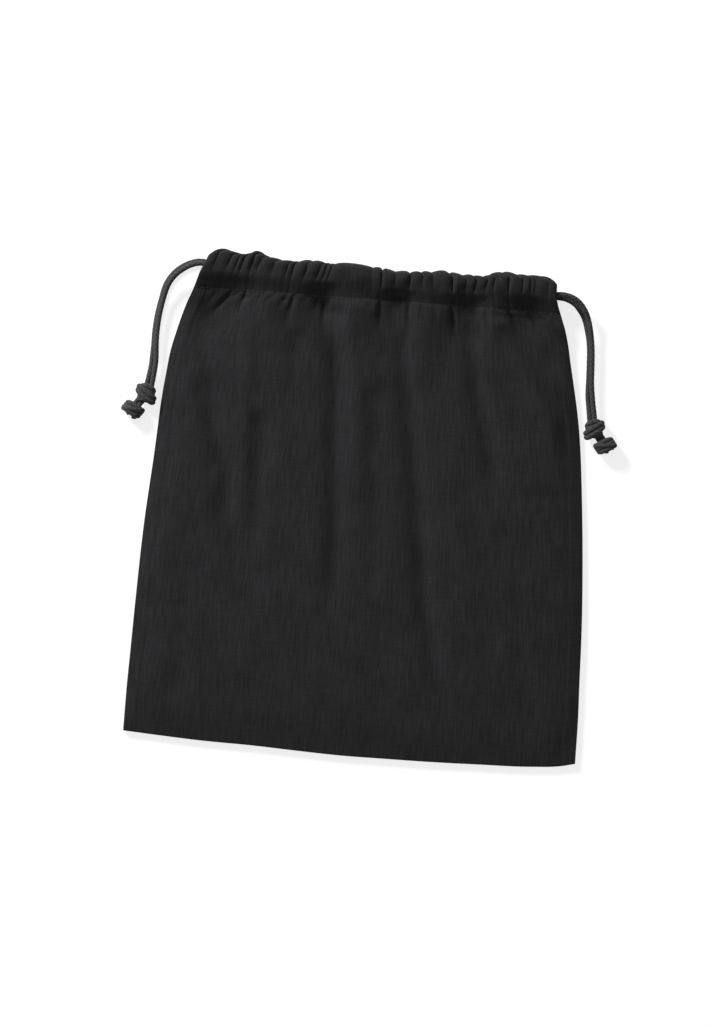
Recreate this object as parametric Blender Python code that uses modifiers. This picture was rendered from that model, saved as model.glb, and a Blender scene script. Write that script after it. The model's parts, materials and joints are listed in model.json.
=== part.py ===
"""Double-draw cotton drawstring gift sack, lying flat on its back panel with the cords loosely drawn.

Metres, +Z up out of the front panel, +Y from the bottom seam to the mouth, +X to the right.
The origin is under the middle of the sack, on the surface that it lies on.
"""

import math

import bmesh
import bpy
from mathutils import Matrix, Vector
from mathutils.geometry import interpolate_bezier

COLLECTION = "fabric_gift_sack"
CUTTER_COLLECTION = "cutters"

# Driving dimensions of the cloth
SACK_WIDTH = 0.280
SACK_LENGTH = 0.302
BOTTOM_BOW = 0.005
HEADER_WIDTH = 0.214
CLOTH = 0.0005
CASING_DEPTH = 0.0195
HEM_ALLOWANCE = 0.0025
MOUTH_GAP = 0.0044
CASING_PINCH = 0.0013
PINCH_REACH = 0.008
SHOULDER_LENGTH = 0.030
FLAP_SETBACK = 0.0085

# How the side edges draw in towards the header: a slow curve, then a quick pull beside the casing
SLOW_TAPER_SHARE = 0.65
SLOW_TAPER_POWER = 2
QUICK_TAPER_POWER = 12
BOW_POWER = 4

# Seams and stitching
SEAM_WIDTH = 0.006
SEAM_THICKNESS = 0.001
SEAM_INSET = 0.0005
EDGE_RISE = 0.016
THREAD = 0.0006

# Cords
CORD = 0.0032
CORD_CLEARANCE = 0.0003
CORD_SLACK = 0.003
LEFT_CORD_BELOW_FOLD = 0.0042
RIGHT_CORD_BELOW_FOLD = 0.0085
CORD_END_PAST_HEADER = 0.001
STRAND_POINT_SPACING = 0.0048
CURVE_STEPS = 16

# Knots: width across the cords, length along them, height
MAIN_KNOT = (0.0144, 0.0112, 0.0096)
END_KNOT = (0.0140, 0.0102, 0.0092)
NECK_DIAMETER = 0.0056
NECK_SINK = 0.002

# Gap that two touching pieces keep
TOUCH = 0.0003

# Mesh resolution
RISE_COLUMNS = 4
MIDDLE_COLUMNS = 8
BODY_ROWS = 8
CASING_ROWS = 4
FOLD_STEPS = 6
BIGHT_STEPS = 10
CORD_SIDES_RESOLUTION = 2
KNOT_RINGS = 12
KNOT_SEGMENTS = 16
BALL_END_DEGREES = (80, 60, 35, 15)

# Worked out from the values above
TOP_Y = SACK_LENGTH / 2
BOTTOM_Y = -SACK_LENGTH / 2 + BOTTOM_BOW
HOLLOW = CORD + 2 * CORD_CLEARANCE
FOLD_RADIUS = (HOLLOW + CLOTH) / 2
CASING_THICKNESS = HOLLOW + 2 * CLOTH
HEADER_THICKNESS = 2 * CASING_THICKNESS + MOUTH_GAP
FOLD_Y = TOP_Y - CLOTH / 2 - FOLD_RADIUS
STITCH_Y = TOP_Y - CASING_DEPTH
HEM_Y = STITCH_Y - HEM_ALLOWANCE
SHOULDER_Y = HEM_Y - SHOULDER_LENGTH
FRONT_OUTER_Z = HEADER_THICKNESS - CLOTH / 2
BACK_OUTER_Z = CLOTH / 2
BODY_DEPTH = CASING_THICKNESS - CLOTH
FLANGE = SEAM_INSET + SEAM_WIDTH + SEAM_INSET
SEAM_FRONT_Z = CLOTH + TOUCH + SEAM_THICKNESS + TOUCH + CLOTH / 2
EDGE_DROP = FRONT_OUTER_Z - BODY_DEPTH - SEAM_FRONT_Z
FLAP_SEPARATION = CLOTH + TOUCH
HALF_FLAP = HEADER_WIDTH / 2 - FLAP_SETBACK
FRONT_CORD_Z = FRONT_OUTER_Z - FOLD_RADIUS
BACK_CORD_Z = BACK_OUTER_Z + FOLD_RADIUS
LEFT_CORD_Y = TOP_Y - LEFT_CORD_BELOW_FOLD
RIGHT_CORD_Y = TOP_Y - RIGHT_CORD_BELOW_FOLD
CORD_END_X = HEADER_WIDTH / 2 + CORD_END_PAST_HEADER
TAIL_HINGE_X = CORD_END_X + TOUCH + CORD / 2

# Free cords: the way of each pair of strands from the casing's end to the top of its main knot,
# then the centres of its two knots (x, y).
LEFT_ROUTE = (
    (-TAIL_HINGE_X, LEFT_CORD_Y),
    (-0.1160, 0.1468),
    (-0.1231, 0.1440),
    (-0.1297, 0.1386),
    (-0.1340, 0.1316),
    (-0.1364, 0.1221),
    (-0.1381, 0.1118),
    (-0.1388, 0.1013),
    (-0.1387, 0.0913),
    (-0.1387, 0.0827),
    (-0.1396, 0.0744),
    (-0.1403, 0.0694),
)
LEFT_MAIN_KNOT = (-0.1417, 0.0637)
LEFT_END_KNOT = (-0.1493, 0.0531)
RIGHT_ROUTE = (
    (TAIL_HINGE_X, RIGHT_CORD_Y),
    (0.1151, 0.1418),
    (0.1211, 0.1385),
    (0.1264, 0.1313),
    (0.1294, 0.1220),
    (0.1311, 0.1126),
    (0.1318, 0.1030),
    (0.1322, 0.0936),
    (0.1328, 0.0841),
    (0.1342, 0.0747),
    (0.1353, 0.0679),
)
RIGHT_MAIN_KNOT = (0.1368, 0.0622)
RIGHT_END_KNOT = (0.1445, 0.0522)

# How the two strands of a pair lie along their way: share of the way, half the distance between
# them sideways, height of the upper strand, height of the lower one.
STRAND_LAY = (
    (0.00, 0.0000, FRONT_CORD_Z, BACK_CORD_Z),
    (0.08, 0.0003, 0.0113, 0.0022),
    (0.18, 0.0008, 0.0096, 0.0018),
    (0.30, 0.0007, 0.0070, 0.0017),
    (0.44, 0.0006, 0.0053, 0.0017),
    (0.70, 0.0007, 0.0051, 0.0017),
    (0.86, 0.0013, 0.0048, 0.0020),
    (1.00, 0.0018, 0.0044, 0.0036),
)


def clear_scene():
    for obj in list(bpy.data.objects):
        bpy.data.objects.remove(obj, do_unlink=True)


def new_collection(name, hidden=False):
    collection = bpy.data.collections.new(name)
    bpy.context.scene.collection.children.link(collection)
    collection.hide_render = hidden
    return collection


def new_material(name, colour, roughness):
    material = bpy.data.materials.new(name)
    material.use_nodes = True
    shader = material.node_tree.nodes["Principled BSDF"]
    shader.inputs["Base Color"].default_value = (*colour, 1.0)
    shader.inputs["Roughness"].default_value = roughness
    shader.inputs["Metallic"].default_value = 0.0
    return material


def link_object(name, data, collection, material, parent):
    obj = bpy.data.objects.new(name, data)
    collection.objects.link(obj)
    data.materials.append(material)
    if parent is not None:
        obj.parent = parent
        obj.matrix_parent_inverse = parent.matrix_world.inverted()
    return obj


def joint_empty(name, place, collection, parent=None):
    """An empty on a joint's axis, which carries the pieces that move with it."""
    empty = bpy.data.objects.new(name, None)
    collection.objects.link(empty)
    empty.parent = parent
    offset = parent.matrix_world.translation if parent is not None else Vector()
    empty.location = Vector(place) - offset
    bpy.context.view_layer.update()
    return empty


def smooth_step(value):
    value = min(max(value, 0.0), 1.0)
    return value * value * (3 - 2 * value)


def half_width(y):
    """Half the sack's width at a height up the sack."""
    share = min(max((y - BOTTOM_Y) / (TOP_Y - BOTTOM_Y), 0.0), 1.0)
    slow = SLOW_TAPER_SHARE * share**SLOW_TAPER_POWER
    quick = (1 - SLOW_TAPER_SHARE) * share**QUICK_TAPER_POWER
    return SACK_WIDTH / 2 - (SACK_WIDTH - HEADER_WIDTH) / 2 * (slow + quick)


def bottom_y(across):
    """The bottom edge, which bows out between its corners; across is -1 to 1."""
    return BOTTOM_Y - BOTTOM_BOW * (1 - abs(across) ** BOW_POWER)


def pinch(y):
    """How far the casing stitch draws the outer layer in."""
    return CASING_PINCH * (1 - smooth_step(abs(y - STITCH_Y) / PINCH_REACH))


def rise(distance):
    """0 on the flat flange over a seam, 1 where the front panel has risen off it."""
    return smooth_step((distance - FLANGE) / EDGE_RISE)


def shoulder(y):
    """0 in the body, 1 from the hem up."""
    return smooth_step((y - SHOULDER_Y) / SHOULDER_LENGTH)


def front_z(x, y):
    """Middle of the front panel's cloth."""
    width = half_width(y)
    from_side = max(rise(width - abs(x)), shoulder(y))
    from_bottom = rise(y - bottom_y(x / width))
    body = BODY_DEPTH * (1 - shoulder(y))
    return FRONT_OUTER_Z - body - pinch(y) - EDGE_DROP * (1 - from_side * from_bottom)


def back_z(y):
    """Middle of the back panel's cloth."""
    return BACK_OUTER_Z + pinch(y)


def edge_columns():
    """Distances of the panel's columns from its side edge, up to where the rise ends."""
    steps = [FLANGE + EDGE_RISE * (i + 1) / RISE_COLUMNS for i in range(RISE_COLUMNS)]
    return [0.0, FLANGE / 2, FLANGE, *steps]


def column_x(index, width):
    """Where a column stands on a row of this half width."""
    edges = edge_columns()
    last = 2 * len(edges) + MIDDLE_COLUMNS - 2
    if index > last / 2:
        return -column_x(last - index, width)
    if index < len(edges):
        return -width + edges[index]
    inner = width - edges[-1]
    return -inner + 2 * inner * (index - len(edges) + 1) / MIDDLE_COLUMNS


def body_row_shares():
    """Rows from the bottom edge to the stitch line, as y for a point that isn't on the bow."""
    rise_rows = edge_columns()
    low = BOTTOM_Y + rise_rows[-1]
    straight = [low + (SHOULDER_Y - low) * (i + 1) / BODY_ROWS for i in range(BODY_ROWS)]
    shoulder_rows = [
        SHOULDER_Y + (STITCH_Y - SHOULDER_Y) * (i + 1) / BODY_ROWS for i in range(BODY_ROWS)
    ]
    return [BOTTOM_Y + d for d in rise_rows] + straight + shoulder_rows


def casing_rows():
    """The header's section, as (y, depth inwards from the outer layer, half width)."""
    rows = []
    for i in range(CASING_ROWS):
        y = STITCH_Y + (FOLD_Y - STITCH_Y) * (i + 1) / CASING_ROWS
        rows.append((y, pinch(y), half_width(y)))
    for i in range(1, FOLD_STEPS + 1):
        angle = math.pi * i / FOLD_STEPS
        y = FOLD_Y + FOLD_RADIUS * math.sin(angle)
        depth = FOLD_RADIUS * (1 - math.cos(angle))
        rows.append((y, depth, HALF_FLAP))
    for i in range(CASING_ROWS):
        y = FOLD_Y + (STITCH_Y - FOLD_Y) * (i + 1) / CASING_ROWS
        squeeze = pinch(y) / CASING_PINCH
        depth = 2 * FOLD_RADIUS * (1 - squeeze) + (CASING_PINCH + FLAP_SEPARATION) * squeeze
        rows.append((y, depth, HALF_FLAP))
    rows.append((HEM_Y, CASING_PINCH + FLAP_SEPARATION + TOUCH / 2, HALF_FLAP))
    return rows


def panel_object(name, is_front, collection, material):
    """One panel: a sheet whose top is turned over inwards and stitched down as the casing."""
    body = body_row_shares()
    casing = casing_rows()
    columns = 2 * len(edge_columns()) + MIDDLE_COLUMNS - 1
    rows = len(body) + len(casing)
    sheet = bmesh.new()
    bmesh.ops.create_grid(sheet, x_segments=columns - 1, y_segments=rows - 1, size=0.5)
    low_rise = edge_columns()[-1]
    for vert in sheet.verts:
        column = round((vert.co.x + 0.5) * (columns - 1))
        row = round((vert.co.y + 0.5) * (rows - 1))
        if row < len(body):
            y = body[row]
            across = column_x(column, half_width(y)) / half_width(y)
            bow = bottom_y(across) - BOTTOM_Y
            settle = smooth_step((body[row] - BOTTOM_Y - low_rise) / low_rise)
            y += bow * (1 - settle)
            x = column_x(column, half_width(y))
            z = front_z(x, y) if is_front else back_z(y)
        else:
            y, depth, width = casing[row - len(body)]
            x = column_x(column, width)
            z = FRONT_OUTER_Z - depth if is_front else BACK_OUTER_Z + depth
        vert.co = (x, y, z)
    if not is_front:
        bmesh.ops.reverse_faces(sheet, faces=sheet.faces[:])
    mesh = bpy.data.meshes.new(name)
    sheet.to_mesh(mesh)
    sheet.free()
    mesh.shade_smooth()
    panel = link_object(name, mesh, collection, material, None)
    cloth = panel.modifiers.new("cloth", "SOLIDIFY")
    cloth.thickness = CLOTH
    cloth.offset = 0.0
    cloth.use_even_offset = True
    return panel


def strip_object(name, centres, collection, material):
    """A seam's overlocked allowance, lying between the panels: (x, y, sideways x, y) per station."""
    strip = bmesh.new()
    bmesh.ops.create_grid(strip, x_segments=1, y_segments=len(centres) - 1, size=0.5)
    for vert in strip.verts:
        side = vert.co.x * 2
        x, y, over_x, over_y = centres[round((vert.co.y + 0.5) * (len(centres) - 1))]
        x += side * over_x
        y += side * over_y
        vert.co = (x, y, back_z(y) + CLOTH / 2 + TOUCH)
    raised = bmesh.ops.extrude_face_region(strip, geom=strip.faces[:])
    for vert in (g for g in raised["geom"] if isinstance(g, bmesh.types.BMVert)):
        vert.co.z = front_z(vert.co.x, vert.co.y) - CLOTH / 2 - TOUCH
    bmesh.ops.recalc_face_normals(strip, faces=strip.faces[:])
    mesh = bpy.data.meshes.new(name)
    strip.to_mesh(mesh)
    strip.free()
    return link_object(name, mesh, collection, material, None)


def side_seam(name, side, collection, material):
    half = SEAM_WIDTH / 2
    start = BOTTOM_Y + SEAM_INSET
    stations = [start] + [y for y in body_row_shares() if start < y < HEM_Y] + [HEM_Y]
    centres = [(side * (half_width(y) - SEAM_INSET - half), y, side * half, 0.0) for y in stations]
    return strip_object(name, centres, collection, material)


def bottom_seam(name, collection, material):
    half = SEAM_WIDTH / 2
    reach = SACK_WIDTH / 2 - FLANGE - SEAM_INSET
    steps = 2 * MIDDLE_COLUMNS
    centres = []
    for i in range(steps + 1):
        x = -reach + 2 * reach * i / steps
        y = bottom_y(x / (SACK_WIDTH / 2)) + SEAM_INSET + half
        centres.append((x, y, 0.0, half))
    return strip_object(name, centres, collection, material)


def tube_object(name, points, diameter, collection, material, parent, radii=None):
    curve = bpy.data.curves.new(name, "CURVE")
    curve.dimensions = "3D"
    curve.bevel_depth = diameter / 2
    curve.bevel_resolution = CORD_SIDES_RESOLUTION
    curve.use_fill_caps = True
    spline = curve.splines.new("POLY")
    spline.points.add(len(points) - 1)
    for i, point in enumerate(points):
        spline.points[i].co = (*point, 1.0)
        spline.points[i].radius = radii[i] if radii else 1.0
        spline.points[i].tilt = 0.0
    spline.use_smooth = True
    return link_object(name, curve, collection, material, parent)


def casing_stitch(name, is_front, collection, material):
    """The row of lockstitch that closes the casing, one thread lying in the pinched line."""
    lift = CLOTH / 2 + TOUCH + THREAD / 2
    z = front_z(0.0, STITCH_Y) + lift if is_front else back_z(STITCH_Y) - lift
    reach = HEADER_WIDTH / 2 - SEAM_INSET
    ends = [(-reach, STITCH_Y, z), (reach, STITCH_Y, z)]
    return tube_object(name, ends, THREAD, collection, material, None)


def cord_loop(name, side, y, collection, material, parent):
    """The cord inside the casings: out along the front, round the far side, back along the back."""
    centre_z = (FRONT_CORD_Z + BACK_CORD_Z) / 2
    radius = (FRONT_CORD_Z - BACK_CORD_Z) / 2
    inner = radius - CORD / 2
    flap_face = MOUTH_GAP / 2 + CLOTH
    reach_at_flap = math.sqrt(inner**2 - flap_face**2)
    bight_x = HALF_FLAP + CORD_SLACK + TOUCH - reach_at_flap
    points = [(side * CORD_END_X, y, FRONT_CORD_Z)]
    for i in range(BIGHT_STEPS + 1):
        angle = math.pi * i / BIGHT_STEPS
        x = -side * (bight_x + radius * math.sin(angle))
        points.append((x, y, centre_z + radius * math.cos(angle)))
    points.append((side * CORD_END_X, y, BACK_CORD_Z))
    return tube_object(name, points, CORD, collection, material, parent)


def smooth_way(points, spacing):
    """Points at an even spacing along one smooth curve through the given ones."""
    points = [Vector(p) for p in points]
    fine = []
    for i in range(len(points) - 1):
        before = points[max(i - 1, 0)]
        after = points[min(i + 2, len(points) - 1)]
        start, end = points[i], points[i + 1]
        handle_a = start + (end - before) / 6
        handle_b = end - (after - start) / 6
        fine.extend(interpolate_bezier(start, handle_a, handle_b, end, CURVE_STEPS)[:-1])
    fine.append(points[-1])
    lengths = [0.0]
    for a, b in zip(fine, fine[1:]):
        lengths.append(lengths[-1] + (b - a).length)
    count = max(2, round(lengths[-1] / spacing) + 1)
    even = []
    j = 0
    for i in range(count):
        at = lengths[-1] * i / (count - 1)
        while j < len(fine) - 2 and lengths[j + 1] < at:
            j += 1
        step = lengths[j + 1] - lengths[j]
        even.append(fine[j].lerp(fine[j + 1], (at - lengths[j]) / step))
    return even


def lay_at(share, column):
    """A column of STRAND_LAY at a share of the way, smoothly between its rows."""
    for low, high in zip(STRAND_LAY, STRAND_LAY[1:]):
        if share <= high[0]:
            blend = smooth_step((share - low[0]) / (high[0] - low[0]))
            return low[column] + (high[column] - low[column]) * blend
    return STRAND_LAY[-1][column]


def strand_points(route, upper):
    """One strand of a pair, with a round end on the hinge and a flat one at the knot."""
    sign = 1 if upper else -1
    way = smooth_way([(x, y, 0.0) for x, y in route], STRAND_POINT_SPACING)
    points = []
    for i, place in enumerate(way):
        share = i / (len(way) - 1)
        along = (way[min(i + 1, len(way) - 1)] - way[max(i - 1, 0)]).normalized()
        sideways = Vector((-along.y, along.x, 0.0)) * sign * lay_at(share, 1)
        height = lay_at(share, 2 if upper else 3)
        points.append(place + sideways + Vector((0.0, 0.0, height)))
    back = (points[0] - points[1]).normalized()
    ball = []
    radii = []
    for degrees in BALL_END_DEGREES:
        angle = math.radians(degrees)
        ball.append(points[0] + back * math.sin(angle) * CORD / 2)
        radii.append(math.cos(angle))
    return ball + points, radii + [1.0] * len(points)


def mesh_from_bmesh(name, solid, smooth=True):
    mesh = bpy.data.meshes.new(name)
    solid.to_mesh(mesh)
    solid.free()
    if smooth:
        mesh.shade_smooth()
    return mesh


def knot_placing(size, centre, along):
    """Matrix that lays a unit ball as a knot: x across the cords, y along them, on the surface."""
    turn = Matrix.Rotation(math.atan2(along.y, along.x) - math.pi / 2, 4, "Z")
    place = Matrix.Translation((*centre, size[2] / 2 + TOUCH))
    return place @ turn @ Matrix.Diagonal((*size, 1.0))


def knot_object(name, size, centre, along, collection, material, parent):
    ball = bmesh.new()
    bmesh.ops.create_uvsphere(ball, u_segments=KNOT_SEGMENTS, v_segments=KNOT_RINGS, radius=0.5)
    bmesh.ops.transform(ball, matrix=knot_placing(size, centre, along), verts=ball.verts[:])
    return link_object(name, mesh_from_bmesh(name, ball), collection, material, parent)


def radius_towards(size, centre, along, point):
    """The knot's radius in the direction of a point at its middle height."""
    turn = math.atan2(along.y, along.x) - math.pi / 2
    angle = math.atan2(point[1] - centre[1], point[0] - centre[0]) - turn
    return 1 / math.hypot(math.cos(angle) / (size[0] / 2), math.sin(angle) / (size[1] / 2))


def add_neck(knot, main_centre, end_centre, along, cutters):
    """Joins to the end knot the short neck of cord that comes from the main one."""
    direction = Vector((*end_centre, 0.0)) - Vector((*main_centre, 0.0))
    distance = direction.length
    main_reach = radius_towards(MAIN_KNOT, main_centre, along, end_centre)
    end_reach = radius_towards(END_KNOT, end_centre, along, main_centre)
    start = main_reach + TOUCH
    length = distance - start - end_reach + NECK_SINK
    neck = bmesh.new()
    bmesh.ops.create_cone(
        neck,
        cap_ends=True,
        segments=KNOT_SEGMENTS,
        radius1=NECK_DIAMETER / 2,
        radius2=NECK_DIAMETER / 2,
        depth=length,
    )
    direction.normalize()
    turn = direction.to_track_quat("Z", "Y").to_matrix().to_4x4()
    height = min(MAIN_KNOT[2], END_KNOT[2]) / 2 + TOUCH
    middle = Vector((*main_centre, height)) + direction * (start + length / 2)
    bmesh.ops.transform(neck, matrix=Matrix.Translation(middle) @ turn, verts=neck.verts[:])
    name = knot.name + "_neck"
    tool = bpy.data.objects.new(name, mesh_from_bmesh(name, neck, smooth=False))
    cutters.objects.link(tool)
    tool.hide_render = True
    tool.display_type = "WIRE"
    join = knot.modifiers.new("neck", "BOOLEAN")
    join.operation = "UNION"
    join.object = tool


def drawcord(hand, side, y, route, main_centre, end_centre, collection, cutters, material):
    """One cord: its loop in the casings, its two strands, and the two knots that tie them."""
    pull = joint_empty(f"{hand}_cord_pull", (side * CORD_END_X, y, FRONT_CORD_Z), collection)
    hinge = joint_empty(f"{hand}_tail_swing", (side * TAIL_HINGE_X, y, BACK_CORD_Z), collection, pull)
    cord_loop(f"{hand}_cord_loop", side, y, collection, material, pull)
    for upper in (True, False):
        points, radii = strand_points(route, upper)
        name = f"{hand}_{'upper' if upper else 'lower'}_strand"
        tube_object(name, points, CORD, collection, material, hinge, radii)
    along = Vector(main_centre) - Vector(route[-1])
    knot_object(f"{hand}_main_knot", MAIN_KNOT, main_centre, along, collection, material, hinge)
    end = knot_object(f"{hand}_end_knot", END_KNOT, end_centre, along, collection, material, hinge)
    add_neck(end, main_centre, end_centre, along, cutters)


def main():
    clear_scene()
    parts = new_collection(COLLECTION)
    cutters = new_collection(CUTTER_COLLECTION, hidden=True)
    cotton = new_material("black_slub_cotton", (0.023, 0.023, 0.024), 0.95)
    thread = new_material("black_sewing_thread", (0.030, 0.030, 0.031), 0.75)
    cord = new_material("charcoal_cotton_cord", (0.055, 0.055, 0.056), 0.9)
    panel_object("front_panel", True, parts, cotton)
    panel_object("back_panel", False, parts, cotton)
    side_seam("left_side_seam", -1, parts, thread)
    side_seam("right_side_seam", 1, parts, thread)
    bottom_seam("bottom_seam", parts, thread)
    casing_stitch("front_casing_stitch", True, parts, thread)
    casing_stitch("back_casing_stitch", False, parts, thread)
    drawcord(
        "left", -1, LEFT_CORD_Y, LEFT_ROUTE, LEFT_MAIN_KNOT, LEFT_END_KNOT, parts, cutters, cord
    )
    drawcord(
        "right", 1, RIGHT_CORD_Y, RIGHT_ROUTE, RIGHT_MAIN_KNOT, RIGHT_END_KNOT, parts, cutters, cord
    )


main()
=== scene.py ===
"""Looks of a black slub-cotton drawstring gift sack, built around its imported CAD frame.

Run as a script. Metres, in the frame's own axes: +Z up out of the front panel, +Y to the mouth.
"""

import json
import math

import bmesh
import bpy
import numpy as np
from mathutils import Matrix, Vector

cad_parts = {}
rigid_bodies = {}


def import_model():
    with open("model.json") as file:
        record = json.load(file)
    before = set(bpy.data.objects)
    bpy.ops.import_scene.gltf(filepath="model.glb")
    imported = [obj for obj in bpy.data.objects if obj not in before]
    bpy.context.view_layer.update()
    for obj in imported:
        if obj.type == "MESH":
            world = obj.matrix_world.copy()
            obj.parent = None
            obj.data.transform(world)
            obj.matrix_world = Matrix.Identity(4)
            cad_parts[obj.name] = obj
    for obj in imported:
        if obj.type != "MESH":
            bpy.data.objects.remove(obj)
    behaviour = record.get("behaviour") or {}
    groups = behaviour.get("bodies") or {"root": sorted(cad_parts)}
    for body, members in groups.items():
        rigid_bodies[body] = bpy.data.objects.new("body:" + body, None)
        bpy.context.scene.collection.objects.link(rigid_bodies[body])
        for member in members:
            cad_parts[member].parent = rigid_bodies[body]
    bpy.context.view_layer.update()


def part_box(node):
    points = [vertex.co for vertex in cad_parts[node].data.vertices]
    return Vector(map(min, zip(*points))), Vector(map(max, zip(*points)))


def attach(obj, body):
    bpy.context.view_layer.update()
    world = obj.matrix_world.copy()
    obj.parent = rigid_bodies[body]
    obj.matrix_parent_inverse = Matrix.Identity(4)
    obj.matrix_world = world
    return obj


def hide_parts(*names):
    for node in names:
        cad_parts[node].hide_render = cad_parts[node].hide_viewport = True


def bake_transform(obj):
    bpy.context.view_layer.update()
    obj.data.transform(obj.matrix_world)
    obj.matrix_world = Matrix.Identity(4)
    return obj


bl_info = {
    "name": "Drawstring Gift Sack",
    "version": (1, 0, 0),
    "blender": (4, 5, 0),
    "location": "3D View > Sidebar > Gift Sack",
    "description": "Cloth, cords, stitching and stage of a cotton drawstring sack",
    "category": "Object",
}

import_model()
MM = 0.001

# ---------------------------------------------------------------- sizes taken from the frame

FRONT_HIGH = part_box("front_panel")[1]
BACK_LOW, BACK_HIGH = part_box("back_panel")
TOP_Y = FRONT_HIGH.y
HALF_WIDTH = FRONT_HIGH.x
STITCH_Y = sum(corner.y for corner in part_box("front_casing_stitch")) / 2
CASING_THICKNESS = BACK_HIGH.z - BACK_LOW.z
CLOTH = 0.5 * MM
FOLD_RADIUS = (CASING_THICKNESS - CLOTH) / 2
FOLD_Y = TOP_Y - CLOTH / 2 - FOLD_RADIUS
FRONT_CASING_Z = FRONT_HIGH.z - CASING_THICKNESS / 2
BACK_CASING_Z = BACK_LOW.z + CASING_THICKNESS / 2
HEM_Y = STITCH_Y - 2.5 * MM

# ---------------------------------------------------------------- sizes of the cloth's own shape

# Outline of the lying sack in millimetres: height up the sack, reach to the left, reach to the right
OUTLINE = (
    (-146, 140.0, 140.0), (-118, 139.8, 139.8), (-96, 139.2, 139.0), (-65, 138.4, 138.0),
    (-16, 136.6, 135.0), (30, 133.4, 130.9), (44, 132.6, 129.4), (62, 131.5, 126.9),
    (76, 130.0, 124.3), (93, 127.8, 120.6), (102, 125.7, 118.6), (114, 122.5, 116.0),
    (129, 117.4, 111.2), (140, 113.4, 107.2), (147, 109.8, 106.6), (156, 107.2, 106.8),
)
# The bottom edge bows out between its corners: across, height
BOTTOM_EDGE = (
    (-140, -145.6), (-120, -146.8), (-93, -148.2), (-58, -149.0), (-31, -150.2), (-5, -151.1),
    (23, -151.1), (48, -151.0), (81, -150.3), (113, -149.3), (133, -147.3), (140, -145.6),
)
# The folded top edge, as the gathers leave it: across, height
TOP_EDGE = (
    (-108, 153.9), (-104, 155.1), (-99.6, 155.4), (-92, 154.0), (-86, 153.6), (-80, 155.0),
    (-72, 152.9), (-59, 151.4), (-45, 151.6), (-33, 152.0), (-12, 151.9), (-3, 150.6),
    (2, 149.7), (10, 149.7), (17, 150.4), (30, 151.2), (37, 151.5), (44, 150.4), (54, 150.6),
    (61, 151.0), (68, 153.0), (75, 153.4), (82, 153.0), (90, 153.6), (98, 153.4), (107, 152.0),
)
# Gathers of the front header: across, crease depth (0 a dent, 1 a tuck that shuts), how far the
# crease runs down the sack, and how far it leans across on the way (all but the depth in mm)
FRONT_GATHERS = (
    (-101.5, 0.30, 14, 0), (-93.2, 1.00, 22, -6), (-88.2, 0.65, 8, 0), (-84.4, 0.85, 18, 4),
    (-78.2, 0.45, 8, 0), (-73.8, 0.50, 12, 1), (-66.7, 0.60, 10, -1), (-58.6, 0.70, 12, 0),
    (-54.9, 0.80, 26, 1), (-47.0, 0.25, 10, 0), (-40.0, 0.70, 14, 3), (-36.5, 1.00, 34, 6),
    (-33.2, 0.90, 10, 1), (-7.3, 0.45, 10, 0), (-1.5, 0.95, 22, 2), (7.0, 0.25, 8, 0),
    (16.3, 1.00, 30, 1), (24.5, 0.60, 14, 0), (31.8, 0.60, 14, 1), (43.1, 0.95, 28, 1),
    (50.0, 0.30, 8, 0), (56.3, 0.60, 12, 0), (64.5, 0.90, 24, -3), (69.3, 0.60, 10, 0),
    (78.0, 1.00, 20, 5), (85.6, 0.60, 10, 0), (90.4, 1.00, 18, 5), (93.7, 0.55, 8, 0),
    (102.2, 0.50, 10, 0),
)
BACK_GATHERS = tuple(
    (-107 + 214 * (i + 0.5 + 0.3 * math.sin(2.4 * i)) / 26, 0.45 + 0.5 * abs(math.sin(1.7 * i)),
     10 + 14 * abs(math.cos(1.3 * i)), 3 * math.sin(0.9 * i))
    for i in range(26)
)
# Long soft valleys of the front: depth, half width, then the points that each runs through (mm)
FRONT_VALLEYS = (
    (3.2, 6.6, ((-36, 146), (-29, 118), (-26, 99), (-23, 49), (-18, -12), (-18, -50), (-16, -80))),
    (3.2, 6.8, ((14, 128), (18, 90), (24, 53), (32, 4), (39, -45), (50, -94), (58, -131))),
    (3.0, 7.4, ((-110, 84), (-100, 56), (-93, 29), (-87, 15), (-88, -10), (-76, -34), (-66, -50),
                (-66, -73))),
    (2.2, 7.0, ((-70, 61), (-68, 36), (-69, 9), (-68, -16), (-66, -40))),
    (2.6, 6.4, ((55, 126), (59, 104), (62, 86), (69, 56), (76, 32), (82, 8))),
    (1.0, 5.0, ((-50, 112), (-52, 84), (-46, 52))),
    (0.9, 6.0, ((4, 84), (2, 40), (6, -6), (12, -60))),
    (0.9, 6.0, ((98, -20), (100, -60), (106, -100), (112, -128))),
    (0.9, 7.0, ((-112, -60), (-108, -96), (-112, -132))),
)
# Soft ridges of the front, the same way
FRONT_RIDGES = (
    (3.2, 6.5, ((66, 130), (78, 116), (96, 88), (112, 58), (121, 42))),
    (1.1, 5.0, ((-24, 124), (-16, 98), (-10, 60), (-4, 10))),
    (1.0, 5.0, ((-84, 112), (-80, 80), (-80, 40), (-76, 0))),
    (0.8, 7.0, ((48, 60), (56, 0), (68, -60), (76, -110))),
)
# Hollows under the casing, and the swells between them: size, across, height, half width, reach
# up the sack, reach down it (mm)
FRONT_HOLLOWS = (
    (4.2, -96, 121, 14, 19, 22), (3.0, -39, 130, 8, 13, 13), (2.1, -33, 121, 9, 10, 13),
    (3.4, 8, 127, 9.5, 14, 15), (3.8, 53, 125, 11, 15, 16), (4.2, 90, 124, 13, 17, 17),
    (3.8, 112, 107, 13, 17, 14),
    (1.0, 109, 17, 15, 6, 5), (2.6, -109, 111, 12, 18, 20),
)
FRONT_SWELLS = (
    (1.8, -68, 124, 12, 12, 24), (3.0, -17, 124, 14, 8, 24), (2.4, 27, 123, 10, 11, 22),
    (3.2, 68, 126, 6.5, 12, 16), (1.4, 22, 92, 9, 14, 20), (1.2, -8, 84, 9, 20, 30),
)
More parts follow.
